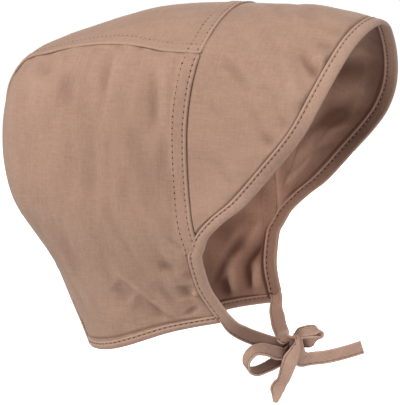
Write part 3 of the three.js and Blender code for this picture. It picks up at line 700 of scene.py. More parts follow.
faceTape = {
    "width": 8.0,
    "pairs": (12, 3, 4),  # that guide it from the forehead to the ear, round it, and to the neck
    "stitchLine": 1.9,  # from its turned-in edge
    "spacing": 0.8,
}
neckTape = {"width": 4.8, "pairs": 9, "stitchLine": 1.3, "spacing": 0.8}
tapeRoll = {
    "ripple": 0.08,  # how uneven its thickness is, as a share
    "tug": 0.16,  # how deep each stitch draws it in
    "edgeShade": 0.8,  # how light its turned-in edge is, partly rubbed and partly painted highlight, and how dark the painted shade along its stitches lies
    "paintedInnerShade": 0.36,  # how much painted shade darkens it on the side of the head
}


def visorCrossing():
    # where the visor, getting narrower towards the ear, is only as wide as the binding
    around = np.linspace(0.5, 1, 2000)
    deep = visorPoint(around, np.zeros(2000)) - visorPoint(around, np.ones(2000))
    return around[np.nonzero(np.linalg.norm(deep, axis=-1) > faceTape["width"])[0][-1]]


tapeCrossing = visorCrossing()
earShare = frontEdge["own"][earRow]
crossingShare = earShare - visorSeam["length"] / 2 * (1 - tapeCrossing) / frontEdge["length"]


def faceTapePairs():
    # outer edge point, turned-in edge point and the cloth's normal, down one side of the face
    visorCount, earCount, jawCount = faceTape["pairs"]
    pairs = []
    for k in range(visorCount + 1):
        around = tapeCrossing * k / visorCount
        deep = sharesAt(lambda s: visorPoint(np.full_like(s, around), s), faceTape["width"], True)
        facing = normalAt(visorAt, around, max(deep, 0.5))
        pairs.append((visorAt(around, 1.0), visorAt(around, deep), facing))
    for k in range(1, earCount + jawCount + 1):
        past = min(k / earCount, 1)
        if k <= earCount:
            down = crossingShare + (earShare - crossingShare) * past
            outer = atHalf(visorEdge, tapeCrossing + (1 - tapeCrossing) * past)
        else:
            down = earShare + (1 - earShare) * (k - earCount) / jawCount
            outer = at(frontEdge, down)
        back = sharesAt(lambda s: sidePoint(s, np.full_like(s, down)), faceTape["width"] * past)
        pairs.append((outer, sideAt(back, down), normalAt(sideAt, back, down)))
    return pairs


def neckTapePairs():
    start = sharesAt(lambda s: sidePoint(s, np.ones_like(s)), faceTape["width"] + 0.1)
    pairs = []
    for k in range(neckTape["pairs"] + 1):
        back = start + (1 - start) * k / neckTape["pairs"]
        down = sharesAt(lambda s: sidePoint(np.full_like(s, back), s), neckTape["width"], True)
        pairs.append((sideAt(back, 1.0), sideAt(back, down), normalAt(sideAt, min(back, 0.97), down)))
    return pairs


def mirroredPairs(pairs):
    return [tuple(part * mirror for part in pair) for pair in pairs]


def stripAt(across, along):
    return stripPoint(np.array(along), across)


def napePairs():
    # the same across the foot of the strip, from the wearer's left to right
    high = sharesAt(lambda s: stripPoint(s, np.zeros_like(s)), neckTape["width"], True)
    left, middle = (
        (stripAt(across, 1.0), stripAt(across, high), -normalAt(stripAt, across, high))
        for across in (0.6, 0.0)
    )
    return [left, middle, *mirroredPairs([left])]


def tapeFrames(pairs, spacing):
    # the outer edge, the direction across and the facing direction of a tape, ring by ring
    outer, inner, facing = (smoothLine([pair[k] for pair in pairs]) for k in range(3))
    fine = np.linspace(0, 1, 3000)
    line = (atOwn(outer, fine) + atOwn(inner, fine)) / 2
    run = np.concatenate([[0], np.cumsum(np.linalg.norm(np.diff(line, axis=0), axis=1))])
    count = int(run[-1] / spacing)
    place = np.interp(np.linspace(0, run[-1], count + 1), run, fine)
    edge = atOwn(outer, place)
    across = unit(atOwn(inner, place) - edge)
    out = atOwn(facing, place)
    out = unit(out - across * (out * across).sum(-1, keepdims=True))
    return edge - out * shape["layer"] / 2, across, out, np.linspace(0, run[-1], count + 1)


def sweptTape(name, rings, along, section, wearAndPaintedLight):
    # a closed skin over rings of points, with its ends filled
    count, corners = rings.shape[:2]
    girth = np.concatenate([[0], np.cumsum(np.linalg.norm(np.diff(section, axis=0), axis=1))])
    uv = np.stack(np.broadcast_arrays(along[:, None], girth[None, :]), -1).reshape(-1, 2)
    index = np.arange(count * corners).reshape(count, corners)
    nextCorner = np.roll(index, -1, axis=1)
    faces = np.stack([index[:-1], index[1:], nextCorner[1:], nextCorner[:-1]], -1).reshape(-1, 4)
    faces = faces.tolist() + [index[0].tolist(), index[-1, ::-1].tolist()]
    wearAndPaintedLight = np.broadcast_to(wearAndPaintedLight, rings.shape[:2]).ravel()
    return meshObject(name, rings.reshape(-1, 3), faces, uv, wearAndPaintedLight)


def bindingSection(width, stitchLine):
    # across from the free edge, and out from the middle of the cloth, over the outer face
    sewn = width - stitchLine
    over = [
        (0.0, 0.0), (0.07, 0.4), (0.3, 0.74), (0.7, 0.99), (1.3, 1.19), (2.0, 1.32),
        (sewn * 0.5, 1.4), (sewn * 0.68, 1.36), (sewn - 0.9, 1.16), (sewn - 0.45, 0.98),
        (sewn, 0.8), (sewn + 0.45, 0.96), (width - 0.95, 1.1), (width - 0.5, 1.08),
        (width - 0.2, 0.92), (width - 0.03, 0.66), (width, 0.3),
    ]
    over = [place for k, place in enumerate(over) if k == 0 or place[0] > over[k - 1][0]]
    under = [(across + 0.35 * (across > sewn), -out) for across, out in reversed(over[1:])]
    return np.array(over + under)


def binding(name, pairs, size, shapeAt, seed):
    edge, across, out, along = tapeFrames(pairs, size["spacing"])
    line = size["width"] - size["stitchLine"]
    section = bindingSection(size["width"], size["stitchLine"])
    thickness, share, tone = shapeAt(along, edge[:, 2])
    middle = size["width"] / 2
    reach = middle + (section[None, :, 0] - middle) * share[:, None]
    run, face = along[:, None], np.sign(section[None, :, 1])
    tug = 0.5 + 0.5 * np.cos(2 * np.pi * run / seam["pitch"])
    ripple = softNoise((run + 0.6 * reach) / 4.2, reach / 5 + face * 7, seed)
    height = section[None, :, 1] * thickness[:, None] * (1 + tapeRoll["ripple"] * ripple)
    height = height - face * tapeRoll["tug"] * hump(reach - line, 0.7) * tug
    rings = edge[:, None] + across[:, None] * reach[..., None] + out[:, None] * height[..., None]
    rowsOf = [
        (rings[:, k], out * np.sign(section[k, 1]))
        for k in np.nonzero(np.abs(section[:, 0] - line) < 1e-6)[0]
    ]
    # the free edge and the turned-in edge lighter, partly from rubbing and partly painted highlight;
    # painted shade along the stitches and on the side of the head; and the painted light and shade
    # along the tape from shapeAt, stronger on the inner side
    innerSide = section[:, 1] < 0
    edges = hump(section[:, 0] - size["width"] + 0.6, 0.5), np.abs(section[:, 0] - line) < 0.1
    rubbedAndPaintedLight = hump(section[:, 0], 0.7) + tapeRoll["edgeShade"] * edges[0]
    rubbedAndPaintedLight -= tapeRoll["edgeShade"] * edges[1] + tapeRoll["paintedInnerShade"] * innerSide
    rubbedAndPaintedLight = rubbedAndPaintedLight + tone[:, None] * (1 + 0.6 * innerSide)
    return sweptTape(name, rings, along, section, rubbedAndPaintedLight), rowsOf


facePairs = faceTapePairs()
faceLoop = mirroredPairs(facePairs[1:])[::-1] + facePairs
faceLength = tapeFrames(faceLoop, 5)[3][-1]


def faceShape(along, z):
    # how thick and how wide it is, getting smaller towards the ties, and its painted light: lighter
    # near the top of the visor and darker with painted shade lower on it
    fromEnd = np.minimum(along, faceLength - along)
    thickness = 0.3 + 0.42 * rise(0, 5, fromEnd) + 0.28 * rise(2, 26, fromEnd)
    thickness += 0.1 * hump(fromEnd - 30, 16)
    tone = 0.3 * hump(z + 22, 18) - 0.32 * hump(z + 74, 22)
    return thickness, 0.78 + 0.22 * rise(0, 6, fromEnd), tone


def neckShape(along, z):
    return np.full_like(along, 0.9), np.ones_like(along), np.zeros_like(z)


faceBinding, faceRows = binding("faceBinding", faceLoop, faceTape, faceShape, 61)
neckPairs = neckTapePairs()
neckLoop = neckPairs + napePairs() + mirroredPairs(neckPairs)[::-1]
neckBinding, neckRows = binding("neckBinding", neckLoop, neckTape, neckShape, 67)
print("bindings made")

# Ties and bow. Routes of the ties: x, y, z down the middle of the tape, and the direction of its
# width. The bow's own directions are along to its left, up, and out to its front.
tieRightRoute = [
    (-27.4, -31.6, -169.6, -0.26, 0.72, -0.6), (-22, -34.2, -173.2, -0.34, 0.5, -0.78),
    (-15, -37.6, -176.8, -0.36, 0.38, -0.86), (-8, -42.4, -180, -0.3, 0.2, -0.92),
    (-2, -46.6, -181.8, -0.2, 0.1, -0.97), (2, -50, -182.2, -0.1, 0.1, -0.99),
]
tieLeftRoute = [
    (28.4, -29.4, -169.4, -0.1, 0.92, -0.28), (22, -33.6, -172.6, -0.35, 0.9, -0.25),
    (14.4, -38.4, -175.6, -0.49, 0.85, -0.22), (8.6, -42.8, -177.6, -0.52, 0.8, -0.22),
]
rightLoopRoute = [
    (-4.9, -5.2, 0.7, 0.2, -0.85, 0.4), (-10.5, -4.2, 4.2, 0.25, -0.87, 0.4),
    (-17.4, -1.4, 8.4, 0.35, -0.7, 0.6), (-23, -1.8, 11.2, 0.37, -0.5, 0.78),
    (-26.4, -5.8, 13, 0.37, -0.48, 0.8), (-26.2, -10.6, 12.9, 0.37, -0.48, 0.8),
    (-22.8, -13, 10.8, 0.37, -0.48, 0.8), (-16.8, -12.2, 6.2, 0.37, -0.5, 0.78),
    (-10.6, -10, 1.4, 0.3, -0.6, 0.74), (-5.4, -7.8, -1.6, 0.3, -0.68, 0.67),
]
leftLoopRoute = [
    (5.2, 6.4, -1.6, 0, 0.62, -0.78), (7.6, 6.9, -2, 0, 0.62, -0.78),
    (10, 7.1, -2.4, -0.05, 0.56, -0.82), (12, 7.2, -2.8, -0.35, 0.28, -0.9),
    (12.6, 6, -3.1, -0.64, 0.08, -0.77), (12.4, 4.2, -3, -0.76, 0, -0.65),
    (12, 2.4, -2.2, -0.6, -0.34, -0.72), (10.4, 1.5, -0.6, -0.12, -0.74, -0.66),
    (7.8, 1.1, 0.6, 0.03, -0.9, -0.43), (5.4, 0.8, 0.6, 0, -0.94, -0.33),
]
hangingEndRoute = [
    (0.9, 2.2, 5.4, 0.93, -0.34, 0), (-0.3, -2.4, 5.4, 0.93, -0.36, 0),
    (-2.6, -7.2, 5.5, 0.93, -0.36, 0.03), (-4.6, -12.4, 5.4, 0.94, -0.32, 0.06),
    (-6, -17, 4.8, 0.94, -0.32, 0.1), (-7.4, -20.2, 4.5, 0.93, -0.33, 0.12),
    (-8.9, -22.2, 4.3, 0.93, -0.33, 0.15), (-9.9, -24.4, 4.2, 0.93, -0.3, 0.2),
    (-10.2, -27.2, 4.1, 0.93, -0.2, 0.25), (-10.6, -30, 3.9, 0.93, -0.1, 0.3),
    (-11, -31.6, 3.8, 0.93, -0.1, 0.3),
]
sideEndRoute = [
    (9, -7.8, 1.8, -0.06, 1, 0), (16, -7, 2, -0.08, 1, 0), (22.6, -5.6, 1.8, -0.15, 1, 0),
    (29.4, -3.8, 1.4, -0.22, 1, 0), (36.2, -1.7, 1, -0.26, 1, 0),
]
tie = {
    "width": 8.4,
    "thickness": 1.5,
    "wave": 0.12,  # how uneven its thickness is, as a share, and how far it buckles
    "buckle": 0.2,
}
bow = {
    "middle": (0, -55.5, -181.2),
    "turn": 62.0,  # of its front from the hat's, in degrees
    "knot": (5.6, 4.0),  # half its size up and out
    "width": 7.4,
    "spacing": 0.7,
    "stitchLine": 0.335,  # as a share of the tape's width, from its middle
}


def bowDirection(vectors):
    turn = math.radians(bow["turn"])
    along, up, out = np.moveaxis(np.asarray(vectors, float), -1, 0)
    cos, sin = math.cos(turn), math.sin(turn)
    return np.stack([along * cos - out * sin, -along * sin - out * cos, up], -1)


def bowRoute(route):
    route = np.asarray(route, float)
    return bowDirection(route[:, :3]) + np.array(bow["middle"]), bowDirection(route[:, 3:])


def tieLeaving(isLeft):
    # where the binding runs out into the tie, and on for a little in its own direction
    outer, inner, normal = facePairs[-1]
    across = unit(inner - outer)
    facing = unit(normal - across * (normal @ across))
    middle = outer + across * faceTape["width"] / 2 - facing * shape["layer"] / 2
    along = np.cross(across, facing)
    flip = np.ones(3) if isLeft else mirror
    places = [(middle + along * run) * flip for run in (-7.0, -1.5)]
    return np.array(places), np.array([across * flip] * 2)


def tapeSection(width, thickness):
    # a tape folded in two, with a row of stitches along its open edge
    over = [
        (-0.5, 0.0), (-0.493, 0.28), (-0.465, 0.44), (-0.4, 0.5), (-0.25, 0.5), (-0.1, 0.48),
        (0.1, 0.48), (0.24, 0.46), (0.3, 0.38), (0.335, 0.22), (0.37, 0.36), (0.41, 0.42),
        (0.45, 0.4), (0.483, 0.28), (0.49, 0.08),
    ]
    under = [(across, -out) for across, out in reversed(over[1:])]
    return np.array(over + [(0.47, 0.0)] + under) * (width, thickness)


def cordTape(name, legs, seed):
    # one long tape through several legs, each its points, the directions of its width, how wide it is
    # there as a share of the tie, and its painted shade, with painted highlight where that is positive
    places = np.vstack([leg[0] for leg in legs])
    widths = np.vstack([unit(leg[1]) for leg in legs])
    sizes = np.concatenate([np.broadcast_to(leg[2], len(leg[0])) for leg in legs])
    paintedLightAndShade = np.concatenate([np.broadcast_to(leg[3], len(leg[0])) for leg in legs])
    for k in range(1, len(widths)):
        if widths[k] @ widths[k - 1] < 0:
            widths[k] *= -1
    route, turns = smoothLine(places), smoothLine(widths)
    ticks = np.linspace(0, 1, len(places))
    share = np.linspace(0, 1, int(route["length"] / bow["spacing"]) + 1)
    own = np.interp(share, route["own"], ticks)
    middle = at(route, share)
    along = unit(np.gradient(middle, axis=0))
    across = atOwn(turns, own)
    across = unit(across - along * (across * along).sum(-1, keepdims=True))
    facing = np.cross(along, across)
    section = tapeSection(tie["width"], tie["thickness"])
    run = share * route["length"]
    reach = section[None, :, 0] * np.interp(own, ticks, sizes)[:, None]
    wave = softNoise((run[:, None] + 0.5 * reach) / 5, reach / 6 + 3, seed)
    height = section[None, :, 1] * (1 + tie["wave"] * wave)
    height = height + tie["buckle"] * softNoise(run[:, None] / 6, reach / 5, seed + 1)
    height = height * rise(-6, 7, run)[:, None]
    rings = middle[:, None] + across[:, None] * reach[..., None] + facing[:, None] * height[..., None]
    place = np.abs(section[:, 0] / tie["width"])
    onLine = np.abs(place - bow["stitchLine"]) < 0.001
    # painted shade along the row of stitches, and the edges lighter, partly from rubbing and partly
    # painted highlight
    wearAndPaintedLight = np.where(onLine, -0.9, hump(place - 0.5, 0.05)) + np.interp(own, ticks, paintedLightAndShade)[:, None]
    piece = sweptTape(name, rings, run, section, wearAndPaintedLight)
    rowsOf = [
        (rings[10:-4, k], facing[10:-4] * np.sign(section[k, 1])) for k in np.nonzero(onLine)[0]
    ]
    return piece, middle, route["length"], rowsOf


# shade is the leg's painted shade, lighter with painted highlight where positive
def bowLeg(route, size, shade=0):
    places, widths = bowRoute(route)
    return places, widths, size, shade


slim = bow["width"] / tie["width"]
rightLeg = np.array(tieRightRoute, float)
leftLeg = np.array(tieLeftRoute, float)
# inside the knot and over its front, where the two ends come out at its top
toSideEnd = [
    (-1.5, -3.6, -1.6, -0.7, -0.6, 0.3), (0.6, 1.4, -0.6, -0.95, -0.3, 0),
    (1.6, 4.6, 1.2, 1, 0, 0.1), (2.1, 2.6, 3.6, 1, 0.05, 0), (2.3, -1, 4.4, 0.98, 0.18, 0),
    (2.6, -4.4, 4.2, 0.88, 0.48, 0), (3.2, -7.6, 3.4, 0.54, 0.84, 0), (6.2, -8.1, 2.4, 0.05, 1, 0),
]
# the loop's tape comes from under them, over the back of the knot
toLeftLoop = [(-1.4, 2.4, -2.6, 0.5, 0.4, -0.7), (2.2, 5.6, -2.2, 0.1, 0.72, -0.68)]
# the left tie is folded over to the side before it goes in
toKnot = [
    (-6.2, 3.3, 0.8, 0.86, 0.5, 0.2), (-3, 2.6, 1.4, 0.3, 0.76, 0.58), (0.4, 1.8, 0.6, 0.1, 0.8, 0.6),
]
toHangingEnd = [
    (1.5, -0.6, 0.6, -0.4, -0.9, 0.1), (-0.6, 2.6, 0.4, -0.9, -0.4, 0.1), (0.4, 5, 2.6, -1, 0.1, 0),
]
# the last list of each leg is its painted shade: dark where the tape turns under or into the knot, and
# lighter with painted highlight where positive
tieRight, rightPath, rightLength, rightRows = cordTape("tieRight", [
    (*tieLeaving(False), [0.8, 0.88], [-0.3, -0.3]),
    (
        rightLeg[:, :3], rightLeg[:, 3:],
        [0.95, 1, 1, 0.95, 0.8, 0.5],
        [-0.5, -0.62, -0.62, -0.6, -0.75, -1],
    ),
    bowLeg(
        rightLoopRoute,
        [0.75, 1, 1, *[slim] * 6, 0.7],
        [-0.9, -0.45, *[-0.35] * 3, -0.45, -0.6, -0.75, -0.85, -0.95],
    ),
    bowLeg(toSideEnd, [0.4, 0.3, 0.3, 0.36, 0.52, 0.72, 1.16, slim], [-1, -1, -0.4, *[-0.1] * 5]),
    bowLeg(sideEndRoute, slim, -0.08),
], 71)
tieLeft, leftPath, leftLength, leftRows = cordTape("tieLeft", [
    (*tieLeaving(True), [0.8, 0.88], [-0.45, -0.1]),
    (leftLeg[:, :3], leftLeg[:, 3:], [0.94, 1, 1, 1], [0.2, 0.4, 0.4, 0.1]),
    bowLeg(toKnot, [0.9, 0.65, 0.5], [-0.3, -0.5, -1]),
    bowLeg(toLeftLoop, [0.5, 0.8], [-1, -0.5]),
    bowLeg(leftLoopRoute, [*[slim] * 9, 0.8], [-0.1, *[0] * 7, -0.2, -0.8]),
    bowLeg(toHangingEnd, [0.4, 0.35, 0.3], [-1, -1, -0.4]),
    bowLeg(hangingEndRoute, [0.32, 0.72, 1, 0.94, 0.86, 0.77, 0.92, 0.97, 0.7, 0.45, 0.28]),
], 79)


def knotWrap():
    # the turn that holds the bow together, nearly all hidden by the two ends, darkened all over with
    # painted shade
    up, out = bow["knot"]
    section = tapeSection(bow["width"] * 0.8, tie["thickness"] * 0.9)
    reach, height = section[:, :1], section[:, 1:]
    rings = []
    for turn in np.linspace(0, 2 * np.pi, 65)[:-1]:
        sin, cos = math.sin(turn), math.cos(turn)
        place = np.array([0.6 * sin - 0.6, (up - 1.6) * cos, (out - 1.4) * sin])
        facing = unit(np.array([0, cos / up, sin / out]))
        across = unit(np.array([1.0, 0.12 * cos, 0.1]))
        crumple = 0.3 * softNoise(reach / 2.2, 9 * np.sin(turn / 2), 83)
        wide = 1 - 0.12 * math.cos(2 * turn)
        rings.append(place + across * reach * wide + facing * (height + crumple))
    rings = bowDirection(np.array(rings)) + np.array(bow["middle"])
    count, corners = rings.shape[:2]
    index = np.arange(count * corners).reshape(count, corners)
    nextRing, nextCorner = np.roll(index, -1, axis=0), np.roll(index, -1, axis=1)
    faces = np.stack([index, nextRing, np.roll(nextCorner, -1, axis=0), nextCorner], -1)
    halves = np.arange(count) * 0.5, np.arange(corners) * 0.5
    uv = np.stack([np.repeat(halves[0], corners), np.tile(halves[1], count)], -1)
    faces = faces.reshape(-1, 4).tolist()
    return meshObject("bowKnot", rings.reshape(-1, 3), faces, uv, np.full(len(uv), -0.8))


knot = knotWrap()
print("ties and bow made")


# Nodes. An input is given a value, or the output of another node to link it to.
def setInputs(tree, node, inputs):
    for name, given in inputs.items():
        if isinstance(given, bpy.types.NodeSocket):
            tree.links.new(given, node.inputs[name])
        else:
            node.inputs[name].default_value = given


def addNode(tree, kind, inputs=None, **settings):
    node = tree.nodes.new(kind)
    for name, value in settings.items():
        setattr(node, name, value)
    setInputs(tree, node, inputs or {})
    return node


def mathNode(tree, kind, *terms):
    return addNode(tree, "ShaderNodeMath", dict(enumerate(terms)), operation=kind).outputs[0]


# Stitches. The tree lays a stitch and, at each needle hole, a dark bead of painted shade, by turns
# along each line it is given.
stitch = {
    "length": 1.75,
    "width": 0.42,
    "height": 0.3,
    "hole": 0.62,
    "holeStretch": (1.8, 1.05, 0.55),  # along the row, across it and out
    "skew": ((0, -0.02, 0.0), (0, 0.05, 0.16)),  # least and most turn of a stitch, in radians
    "seed": 7,
}


def socketOf(tree, name):
    return next(item.identifier for item in tree.interface.items_tree if item.name == name)


def stitchTree():
    tree = bpy.data.node_groups.new("stitchRow", "GeometryNodeTree")
    for name, kind in (
        ("Lines", "Geometry"), ("Pitch", "Float"), ("Length", "Float"), ("Width", "Float"),
        ("Height", "Float"), ("Hole", "Float"), ("Seed", "Int"), ("Thread", "Material"),
        ("Shade", "Material"),
    ):
        tree.interface.new_socket(name=name, in_out="INPUT", socket_type="NodeSocket" + kind)
    tree.interface.new_socket(name="Stitches", in_out="OUTPUT", socket_type="NodeSocketGeometry")
    given = addNode(tree, "NodeGroupInput").outputs

    # places along the lines for the stitches, and half a step on for the beads of painted shade at the
    # holes
    curves = addNode(tree, "GeometryNodeMeshToCurve", {"Mesh": given["Lines"]}).outputs[0]
    spaced = addNode(
        tree, "GeometryNodeResampleCurve", {"Curve": curves, "Length": given["Pitch"]}, mode="LENGTH"
    )
    tangent = addNode(tree, "GeometryNodeInputTangent").outputs[0]
    halfStep = mathNode(tree, "MULTIPLY", given["Pitch"], 0.5)
    onward = addNode(tree, "ShaderNodeVectorMath", {0: tangent, "Scale": halfStep}, operation="SCALE")
    between = addNode(
        tree, "GeometryNodeSetPosition", {"Geometry": spaced.outputs[0], "Offset": onward.outputs[0]}
    )

    # both lie along the row and face out of the cloth, and each stitch is a little askew
    out = addNode(tree, "GeometryNodeInputNamedAttribute", {"Name": "out"}, data_type="FLOAT_VECTOR")
    faceOut = addNode(
        tree, "FunctionNodeAlignRotationToVector", {"Vector": out.outputs["Attribute"]}, axis="Z"
    )
    follow = addNode(
        tree, "FunctionNodeAlignRotationToVector",
        {"Rotation": faceOut.outputs[0], "Vector": tangent}, axis="X", pivot_axis="Z",
    )
    least, most = stitch["skew"]
    skew = addNode(
        tree, "FunctionNodeRandomValue",
        {"Min": least, "Max": most, "Seed": given["Seed"]}, data_type="FLOAT_VECTOR",
    )
    toTurn = addNode(tree, "FunctionNodeEulerToRotation", {"Euler": skew.outputs["Value"]})
    askew = addNode(
        tree, "FunctionNodeRotateRotation",
        {"Rotation": follow.outputs[0], "Rotate By": toTurn.outputs[0]}, rotation_space="LOCAL",
    )
    threadSize = [given["Length"], given["Width"], given["Height"]]
    holeSize = [mathNode(tree, "MULTIPLY", given["Hole"], share) for share in stitch["holeStretch"]]

    joined = addNode(tree, "GeometryNodeJoinGeometry")
    for places, size, material, rings, turn in (
        (between, holeSize, "Shade", 4, follow), (spaced, threadSize, "Thread", 6, askew),
    ):
        bead = addNode(
            tree, "GeometryNodeMeshUVSphere", {"Segments": 8, "Rings": rings, "Radius": 0.5}
        )
        smooth = addNode(tree, "GeometryNodeSetShadeSmooth", {"Geometry": bead.outputs["Mesh"]})
        scale = addNode(tree, "ShaderNodeCombineXYZ", dict(enumerate(size)))
        placed = addNode(tree, "GeometryNodeInstanceOnPoints", {
            "Points": places.outputs[0], "Instance": smooth.outputs[0],
            "Rotation": turn.outputs[0], "Scale": scale.outputs[0],
        })
        whole = addNode(tree, "GeometryNodeRealizeInstances", {0: placed.outputs[0]})
        painted = addNode(
            tree, "GeometryNodeSetMaterial", {"Geometry": whole.outputs[0], "Material": given[material]}
        )
        tree.links.new(painted.outputs[0], joined.inputs[0])
    addNode(tree, "NodeGroupOutput", {0: joined.outputs[0]})
    return tree


def stitches(name, rowsOf, share):
    # one piece with all the stitches of the given lines, made larger or smaller by share
    points, outs, edges = [], [], []
    for line, out in rowsOf:
        edges += [(len(points) + k, len(points) + k + 1) for k in range(len(line) - 1)]
        points += (np.asarray(line) * mm).tolist()
        outs += np.asarray(out).tolist()
    data = bpy.data.meshes.new(name)
    data.from_pydata(points, edges, [])
    data.attributes.new("out", "FLOAT_VECTOR", "POINT").data.foreach_set("vector", np.ravel(outs))
    made = bpy.data.objects.new(name, data)
    bpy.context.scene.collection.objects.link(made)
    rule = made.modifiers.new("stitches", "NODES")
    rule.node_group = rowTree
    for key, value in {
        "Pitch": seam["pitch"] * mm,
        "Length": stitch["length"] * mm,
        "Width": stitch["width"] * share * mm,
        "Height": stitch["height"] * share * mm,
        "Hole": stitch["hole"] * share * mm,
        "Seed": stitch["seed"],
        "Thread": thread,
        "Shade": paintedHoleShade,
    }.items():
        rule[socketOf(rowTree, key)] = value
    bpy.context.view_layer.update()
    shown = made.evaluated_get(bpy.context.evaluated_depsgraph_get())
    result = bpy.data.meshes.new_from_object(shown)
    made.modifiers.remove(rule)
    made.data = result
    result.name = name
    bpy.data.meshes.remove(data)
    return made


# Materials. Colours are linear.
# each woven finish has a lighter colour for rubbing and painted highlight, and a dark colour for
# painted shade
finish = {
    "cloth": {"dark": (0.345, 0.205, 0.142), "light": (0.5, 0.312, 0.226), "rubbedAndPaintedLight": (0.56, 0.37, 0.28),
              "paintedShade": (0.12, 0.05, 0.036), "bump": 0.35, "roughness": 0.88, "bias": 0.0},
    "tieTape": {"dark": (0.475, 0.29, 0.215), "light": (0.65, 0.425, 0.325), "rubbedAndPaintedLight": (0.7, 0.49, 0.385),
                "paintedShade": (0.075, 0.03, 0.022), "bump": 0.3, "roughness": 0.85, "bias": 45.0},
    "tape": {"dark": (0.375, 0.228, 0.162), "light": (0.54, 0.342, 0.253), "rubbedAndPaintedLight": (0.66, 0.46, 0.36),
             "paintedShade": (0.1, 0.045, 0.032), "bump": 0.5, "roughness": 0.85, "bias": 45.0},
    "thread": {"dark": (0.33, 0.2, 0.145), "light": (0.52, 0.34, 0.25)},
    "paintedHoleShade": {"dark": (0.045, 0.02, 0.014), "light": (0.1, 0.048, 0.033)},
}


def newMaterial(name):
    made = bpy.data.materials.new(name)
    made.use_nodes = True
    return made, made.node_tree, made.node_tree.nodes["Principled BSDF"]


def mixed(tree, factor, first, second):
    first, second = (
        (*colour, 1) if isinstance(colour, tuple) else colour for colour in (first, second)
    )
    inputs = {"Factor": factor, "A": first, "B": second}
    return addNode(tree, "ShaderNodeMix", inputs, data_type="RGBA").outputs["Result"]


def noiseOn(tree, source, grain, detail):
    # noise on the weave's own millimetres, grain being its size each way
    scale = (1 / grain[0], 1 / grain[1], 1)
    place = addNode(tree, "ShaderNodeMapping", {"Vector": source, "Scale": scale})
    noise = addNode(
        tree, "ShaderNodeTexNoise",
        {"Vector": place.outputs[0], "Scale": 1.0, "Detail": detail, "Roughness": 0.5},
        noise_dimensions="2D",
    )
    return noise.outputs[0]


def bumped(tree, height, strength, distance):
    inputs = {"Strength": strength, "Distance": distance, "Height": height}
    return addNode(tree, "ShaderNodeBump", inputs).outputs[0]


weaveLook = {
    "threads": 1.24,  # from one thread that lies over to the next
    "threadShade": 0.05,  # how much lighter it is, and how much higher beside the slubs
    "threadRelief": 0.3,
    "relief": 0.0003,  # depth of the whole weave, in metres
    "rubbedAndPaintedLight": 0.45,  # how much of its lighter colour rubbing and painted highlight bring in, and how much of its painted shade colour
    "paintedShade": -0.9,
    "sheenTint": (1.0, 0.86, 0.78, 1),
    # each unevenness: its size each way, how much detail it has, and its share in the colour
    "slubUp": ((0.62, 11), 1.0, 0.5),
    "slubAcross": ((11, 0.62), 1.0, 0.5),
    "mottle": ((1.5, 2.1), 3.0, 0.6),
    "streak": ((5.5, 34), 2.0, 0.4),
    "broad": ((30, 38), 2.0, 0.4),
}


def wovenMaterial(name):
    look = finish[name]
    made, tree, shader = newMaterial(name)
    weave = addNode(tree, "ShaderNodeUVMap", uv_map="weave").outputs[0]
    turned = addNode(
        tree, "ShaderNodeVectorRotate",
        {"Vector": weave, "Angle": math.radians(look["bias"])}, rotation_type="Z_AXIS",
    ).outputs[0]
    threads = addNode(
        tree, "ShaderNodeVectorMath",
        {0: turned, "Scale": 2 * math.pi / weaveLook["threads"]}, operation="SCALE",
    )
    waves = addNode(tree, "ShaderNodeVectorMath", {0: threads.outputs[0]}, operation="SINE")
    split = addNode(tree, "ShaderNodeSeparateXYZ", {0: waves.outputs[0]})
    overUnder = mathNode(tree, "MULTIPLY", split.outputs[0], split.outputs[1])
    tone, uneven = 0.5, {}
    for kind in ("slubUp", "slubAcross", "mottle", "streak", "broad"):
        grain, detail, share = weaveLook[kind]
        uneven[kind] = noiseOn(tree, turned, grain, detail)
        part = mathNode(tree, "MULTIPLY_ADD", uneven[kind], share, -share / 2)
        tone = mathNode(tree, "ADD", tone, part)
    shade = mathNode(tree, "MULTIPLY", overUnder, weaveLook["threadShade"])
    tone = mathNode(tree, "ADD", tone, shade)

    # lighter where it is rubbed and where painted highlight falls, and darker with painted shade in
    # grooves, creases and hollows
    wearAndPaintedLight = addNode(tree, "ShaderNodeAttribute", attribute_name="wearAndPaintedLight").outputs["Fac"]
    colour = mixed(tree, tone, look["dark"], look["light"])
    for kind in ("rubbedAndPaintedLight", "paintedShade"):
        colour = mixed(tree, mathNode(tree, "MULTIPLY", wearAndPaintedLight, weaveLook[kind]), colour, look[kind])
    slubs = mathNode(tree, "ADD", uneven["slubUp"], uneven["slubAcross"])
    weaveRelief = mathNode(tree, "MULTIPLY", overUnder, weaveLook["threadRelief"])
    relief = mathNode(tree, "ADD", weaveRelief, slubs)
    setInputs(tree, shader, {
        "Base Color": colour,
        "Normal": bumped(tree, relief, look["bump"], weaveLook["relief"]),
        "Roughness": look["roughness"],
        "Specular IOR Level": 0.25,
        "Sheen Weight": 0.22,
        "Sheen Roughness": 0.55,
        "Sheen Tint": weaveLook["sheenTint"],
    })
    return made


def smallMaterial(name, grain, roughness):
    look = finish[name]
    made, tree, shader = newMaterial(name)
    place = addNode(tree, "ShaderNodeTexCoord").outputs["Object"]
    noise = addNode(tree, "ShaderNodeTexNoise", {"Vector": place, "Scale": grain}).outputs[0]
    setInputs(tree, shader, {
        "Base Color": mixed(tree, noise, look["dark"], look["light"]),
        "Normal": bumped(tree, noise, 0.3, 0.0001),
        "Roughness": roughness,
        "Specular IOR Level": 0.2,
    })
    return made


for material, pieces in (
    ("cloth", (sideRight, sideLeft, strip, brim)),
    ("tape", (faceBinding, neckBinding)),
    ("tieTape", (tieRight, tieLeft, knot)),
):
    woven = wovenMaterial(material)
    for piece in pieces:
        piece.data.materials.append(woven)
thread = smallMaterial("thread", 2600, 0.7)
